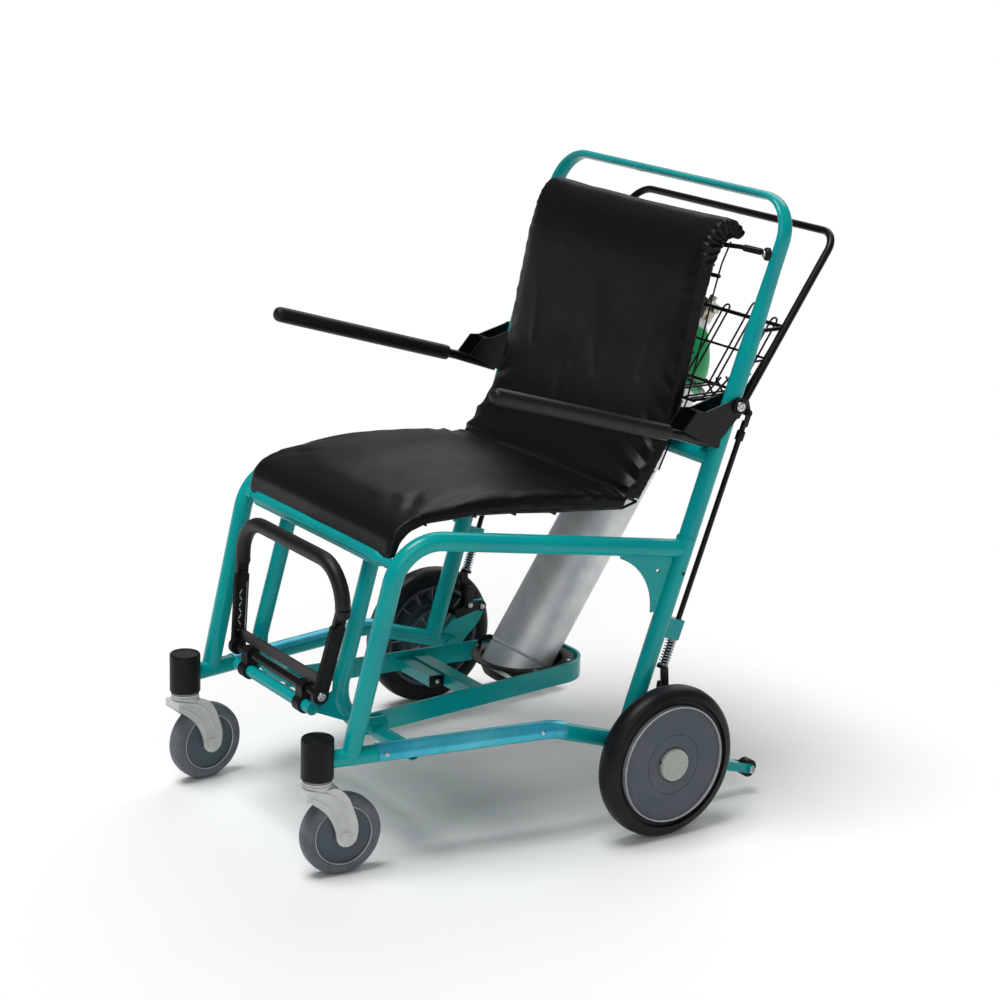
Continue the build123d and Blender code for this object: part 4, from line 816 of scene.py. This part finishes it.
# ---- footrest: channel arms with a sunk panel, rounded feet on the pivot, and punched marks inside the right arm
ARM_FOOT, ARM_HEAD = Vector((131, -401.5, 249)), Vector((159, -377.5, 400))
arm_way = (ARM_HEAD - ARM_FOOT).normalized()
channel = block("foot_channel_left", (0, 0, 66), (11, 24, 116), 2.4)
for face in channel.data.polygons:
    face.select = abs(face.normal.x) > 0.99 or face.normal.y < -0.99
hold(channel)
bpy.ops.object.mode_set(mode="EDIT")
bpy.ops.mesh.select_mode(type="FACE")
bpy.ops.mesh.inset(thickness=2 * MM, depth=-1.2 * MM, use_individual=True)
bpy.ops.object.mode_set(mode="OBJECT")
settle(channel, ARM_FOOT * MM, arm_way, (1, 0, 0))
foot_disc = settle(
    turned("foot_disc", [(13, -5.5), (14, -4.6), (14, 4.6), (13, 5.5)], 40), at(133, -401.5, 255), (1, 0, 0)
)
clevis = settle(
    turned("clevis", [(5, -7.5), (5.6, -7), (5.6, 7), (5, 7.5)], 24), (ARM_FOOT + arm_way * 124) * MM,
    (1, 0, 0)
)
channel = joined("foot_channel_left", [channel, foot_disc, clevis])
twin = copied(channel, "foot_channel_right", mirror=True)
fit(channel, FINISH["black_plastic"], "black_plastic", "footrest")
fit(twin, FINISH["black_plastic"], "black_plastic", "footrest")
marks = []
for step in range(7):
    mark = block(
        "mark", (5.6, -3, 34 + 10 * step), (0.8, 1.8, 8.5), 0.3, (radians(32 if step % 2 else -32), 0, 0)
    )
    marks.append(mark)
marks.append(block("edge_strip", (5.7, 7.6, 66), (0.9, 1.6, 88), 0.3))
marks = settle(
    joined("punched_marks", marks), Vector((-ARM_FOOT.x, ARM_FOOT.y, ARM_FOOT.z)) * MM,
    (-arm_way.x, arm_way.y, arm_way.z), (1, 0, 0)
)
fit(marks, FINISH["zinc"], "zinc", "footrest")

# ---- seat and back pads: vinyl covers over foam, blown up by a short cloth run and gathered at their corners
def cover_from(pads, name, voxel, swell):
    """A soft copy of the pads' CAD solids as one skin of even faces, swelled a little so that the pads meet."""
    copies = []
    for node in pads:
        copies.append(bpy.data.objects.new(name, nodes[node].data.copy()))
        bpy.context.scene.collection.objects.link(copies[-1])
    piece = hold(joined(name, copies))
    bpy.ops.object.mode_set(mode="EDIT")
    bpy.ops.mesh.select_all(action="SELECT")
    bpy.ops.mesh.remove_doubles(threshold=0.00005)
    bpy.ops.transform.shrink_fatten(value=swell * MM)
    bpy.ops.object.mode_set(mode="OBJECT")
    bpy.ops.object.modifier_add(type="REMESH")
    remesh = piece.modifiers[-1]
    remesh.mode, remesh.voxel_size = "VOXEL", voxel * MM
    bpy.ops.object.modifier_apply(modifier=remesh.name)
    bpy.ops.object.modifier_add(type="SMOOTH")
    piece.modifiers[-1].iterations = 3
    bpy.ops.object.modifier_apply(modifier=piece.modifiers[-1].name)
    return piece


def stuff(piece, cap, rests):
    """Blows a cover up with cloth pressure; faces that rest on the wires stay, no point moves past cap."""
    group = piece.vertex_groups.new(name="resting")
    starts, ways = skin_of(piece)
    group.add([int(i) for i in np.flatnonzero(rests(starts, ways))], 1.0, "REPLACE")
    hold(piece)
    bpy.ops.object.modifier_add(type="CLOTH")
    cloth = piece.modifiers[-1]
    cloth.settings.use_pressure = True
    cloth.settings.uniform_pressure_force = 4
    cloth.settings.effector_weights.gravity = 0
    cloth.settings.vertex_group_mass = group.name
    cloth.settings.tension_stiffness = cloth.settings.compression_stiffness = 12
    for moment in range(1, 21):
        bpy.context.scene.frame_set(moment)
    bpy.ops.object.modifier_apply(modifier=cloth.name)
    bpy.context.scene.frame_set(1)
    moves = skin_of(piece)[0] - starts
    lengths = np.linalg.norm(moves, axis=1, keepdims=True)
    reshape(piece, starts + moves * np.minimum(1, cap * MM / np.maximum(lengths, 1e-9)))
    piece.vertex_groups.clear()
    bpy.ops.object.modifier_add(type="SMOOTH")
    piece.modifiers[-1].iterations = 4
    bpy.ops.object.modifier_apply(modifier=piece.modifiers[-1].name)
    bpy.ops.object.modifier_add(type="SUBSURF")
    piece.modifiers[-1].levels = piece.modifiers[-1].render_levels = 1
    bpy.ops.object.modifier_apply(modifier=piece.modifiers[-1].name)


def skin_of(piece):
    """A mesh's points and the ways they face, as two arrays."""
    count = len(piece.data.vertices)
    spots, ways = np.empty(count * 3), np.empty(count * 3)
    piece.data.vertices.foreach_get("co", spots)
    piece.data.vertices.foreach_get("normal", ways)
    return spots.reshape(-1, 3), ways.reshape(-1, 3)


def reshape(piece, spots):
    piece.data.vertices.foreach_set("co", spots.ravel())
    piece.data.update()


def gather(piece, folds, facing):
    """Raises or sinks the cover along folds; each runs from one place to another, with a width and a height."""
    spots, ways = skin_of(piece)
    lift = np.zeros(len(spots))
    for start, end, width, height in folds:
        start, end = np.array(start) * MM, np.array(end) * MM
        run = end - start
        share = np.clip((spots - start) @ run / (run @ run), 0, 1)
        gap = np.linalg.norm(spots - start - share[:, None] * run, axis=1)
        spread = width * MM * (0.7 + 0.9 * share)
        lift += height * MM * (1 - share) ** 0.8 * np.exp(-((gap / spread) ** 2))
    lift *= np.clip(ways @ np.array(facing) * 2 + 0.6, 0, 1)
    reshape(piece, spots + ways * lift[:, None])


def undulate(piece, size, depth):
    """Slow unevenness of a hand-stretched cover over foam."""
    spots, ways = skin_of(piece)
    lift = np.array([noise.noise(Vector(spot) / (size * MM)) for spot in spots])
    reshape(piece, spots + ways * lift[:, None] * depth * MM)


CREASE_Y, TOP_FOLD_Z = 92, 910  # where seat meets back, and where the cover folds over the back's top wire


def on_wires(spots, ways):
    """The faces that rest on the wire shells: the seat's underside and the back's rear below its top fold."""
    seat_side = spots[:, 1] < CREASE_Y * MM
    return np.where(seat_side, ways[:, 2] < -0.45, (ways[:, 1] > 0.45) & (spots[:, 2] < TOP_FOLD_Z * MM))


cover = cover_from(("seat_pad", "back_pad"), "pad_cover", 5.5, 2.6)
stuff(cover, 4, on_wires)
seat_folds = []
for side in (-1, 1):
    shift = 0 if side > 0 else 9
    for start, end, width, height in (
        ((238, 82, 536), (96 + shift, 58, 545), 6, 3.2), ((238, 66, 538), (128 + shift, 34, 548), 5, -2.6),
        (
            (239, 50, 540), (140 + shift, 18, 549), 5.5, 2.6
        ), ((239, 36, 540), (166 + shift, 2, 550), 4.5, -2.2),
        ((239, 22, 541), (172 + shift, -16, 551), 5, 2), ((239, 6, 541), (190 + shift, -30, 552), 4, -1.4),
        ((238, -12, 542), (188 + shift, -60, 553), 5, 1.3), ((236, -48, 543), (200, -90, 553), 6, 0.9),
        ((234, -96, 543), (190, -150, 555), 8, 0.8), ((228, -190, 542), (170, -240, 553), 9, -0.8),
        ((230, 88, 534), (20, 80, 541), 7, -2.2), ((226, -270, 538), (150, -285, 548), 8, 0.9),
    ):
        seat_folds.append(((side * start[0], *start[1:]), (side * end[0], *end[1:]), width, height))
gather(cover, seat_folds, (0, 0, 1))
back_folds = []
for side in (-1, 1):
    shift = 0 if side > 0 else 8
    for start, end, width, height in (
        ((238, 100, 544), (60 + shift, 104, 552), 7, 3.4), ((238, 108, 556), (92 + shift, 132, 590), 7, -3.2),
        ((239, 118, 570), (110 + shift, 140, 604), 6, 3.6), (
            (239, 126, 583), (128 + shift, 148, 622), 5.5, -3
        ),
        (
            (240, 135, 597), (150 + shift, 154, 634), 5.5, 3.4
        ), ((240, 142, 609), (168 + shift, 160, 645), 5, -2.6),
        ((240, 149, 622), (176 + shift, 165, 652), 5, 2.8), (
            (240, 156, 636), (188 + shift, 170, 662), 4.5, -2
        ),
        (
            (240, 162, 650), (196 + shift, 174, 678), 5, 1.9
        ), ((240, 174, 690), (198 + shift, 180, 712), 5, 1.6),
        (
            (240, 178, 704), (204 + shift, 184, 724), 4.5, -1.2
        ), ((240, 183, 724), (206 + shift, 190, 746), 5, 1.2),
        ((240, 191, 765), (212, 196, 790), 5, 0.9), ((150, 176, 700), (176, 205, 840), 12, 1.3),
        ((40, 150, 610), (70, 185, 730), 14, 1.2), ((-30, 170, 690), (10, 205, 830), 16, 1.1),
    ):
        back_folds.append(((side * start[0], *start[1:]), (side * end[0], *end[1:]), width, height))
gather(cover, back_folds, (0, -1, 0))
undulate(cover, 75, 0.9)
undulate(cover, 26, 0.25)
# the front lip is pulled down to the tube, and the ends of the top fold are bunched where the cover is tucked in
spots, ways = skin_of(cover)
x, y, z = (spots / MM).T
spots[:, 2] -= 8 * MM * np.clip((-306 - y) / 14, 0, 1) * np.clip((512 - z) / 16, 0, 1)
reach = np.where(x > 0, 1, 0.35) * np.clip((abs(x) - 214) / 24, 0, 1) * np.clip((z - 880) / 30, 0, 1)
pucker = np.sin(np.arctan2(z - 915, y - 272) * 44 * 2 * pi / 13 + 0.6 * np.sin(y / 5))
spots += ways * (pucker * 1.5 * reach**2 * MM)[:, None]
spots[:, 0] += pucker * 1.3 * reach * np.sign(x) * MM
reshape(cover, spots)
fit(cover, FINISH["vinyl"], "vinyl", "frame", "seat_pad", "back_pad", angle=80)

# ---- camera, floor and light ---------------------------------------------------------------------
bearing, height_angle, roll = radians(55.589), radians(15.887), radians(1.801)
back = Vector((sin(bearing) * cos(height_angle), -cos(bearing) * cos(height_angle), sin(height_angle)))
level = Vector((cos(bearing), sin(bearing), 0))
rise = back.cross(level)
right = cos(roll) * level + sin(roll) * rise
up = cos(roll) * rise - sin(roll) * level
eye = at(0, 105, 410) + right * -74.449 * MM + up * 52.891 * MM + back * 4167.476 * MM
bpy.ops.object.camera_add()
camera = bpy.context.object
camera.matrix_world = Matrix.Translation(eye) @ Matrix((right, up, back)).transposed().to_4x4()
camera.data.lens = 90
bpy.context.scene.camera = camera

bpy.ops.mesh.primitive_plane_add(size=60, location=(0, 0, 0))
floor = bpy.context.object
floor.name = "studio_floor"
floor_paint, tree, skin, coords = surface("studio_floor_white", "#F7F7F7", 0.9)
skin.inputs["Specular IOR Level"].default_value = 0.1
floor.data.materials.append(floor_paint)

world = bpy.data.worlds.new("studio")
bpy.context.scene.world = world
world.use_nodes = True
world.node_tree.nodes["Background"].inputs["Color"].default_value = (1, 1, 1, 1)
world.node_tree.nodes["Background"].inputs["Strength"].default_value = 0.14
bpy.context.scene.view_settings.view_transform = "Standard"


def sun(name, heading, height, strength, spread):
    """A soft lamp far away, at a heading from the chair's front and a height, both in degrees."""
    aim = Vector(
        (sin(radians(heading)) * cos(radians(height)),
         -cos(radians(heading)) * cos(radians(height)), sin(radians(height)))
    )
    bpy.ops.object.light_add(type="SUN", location=aim * 5, rotation=aim.to_track_quat("Z", "Y").to_euler())
    bpy.context.object.name = name
    bpy.context.object.data.energy = strength
    bpy.context.object.data.angle = radians(spread)


sun("key", -15, 77, 2.3, 30)
sun("fill", 62, 35, 0.55, 40)
sun("rim", 218, 38, 0.8, 45)
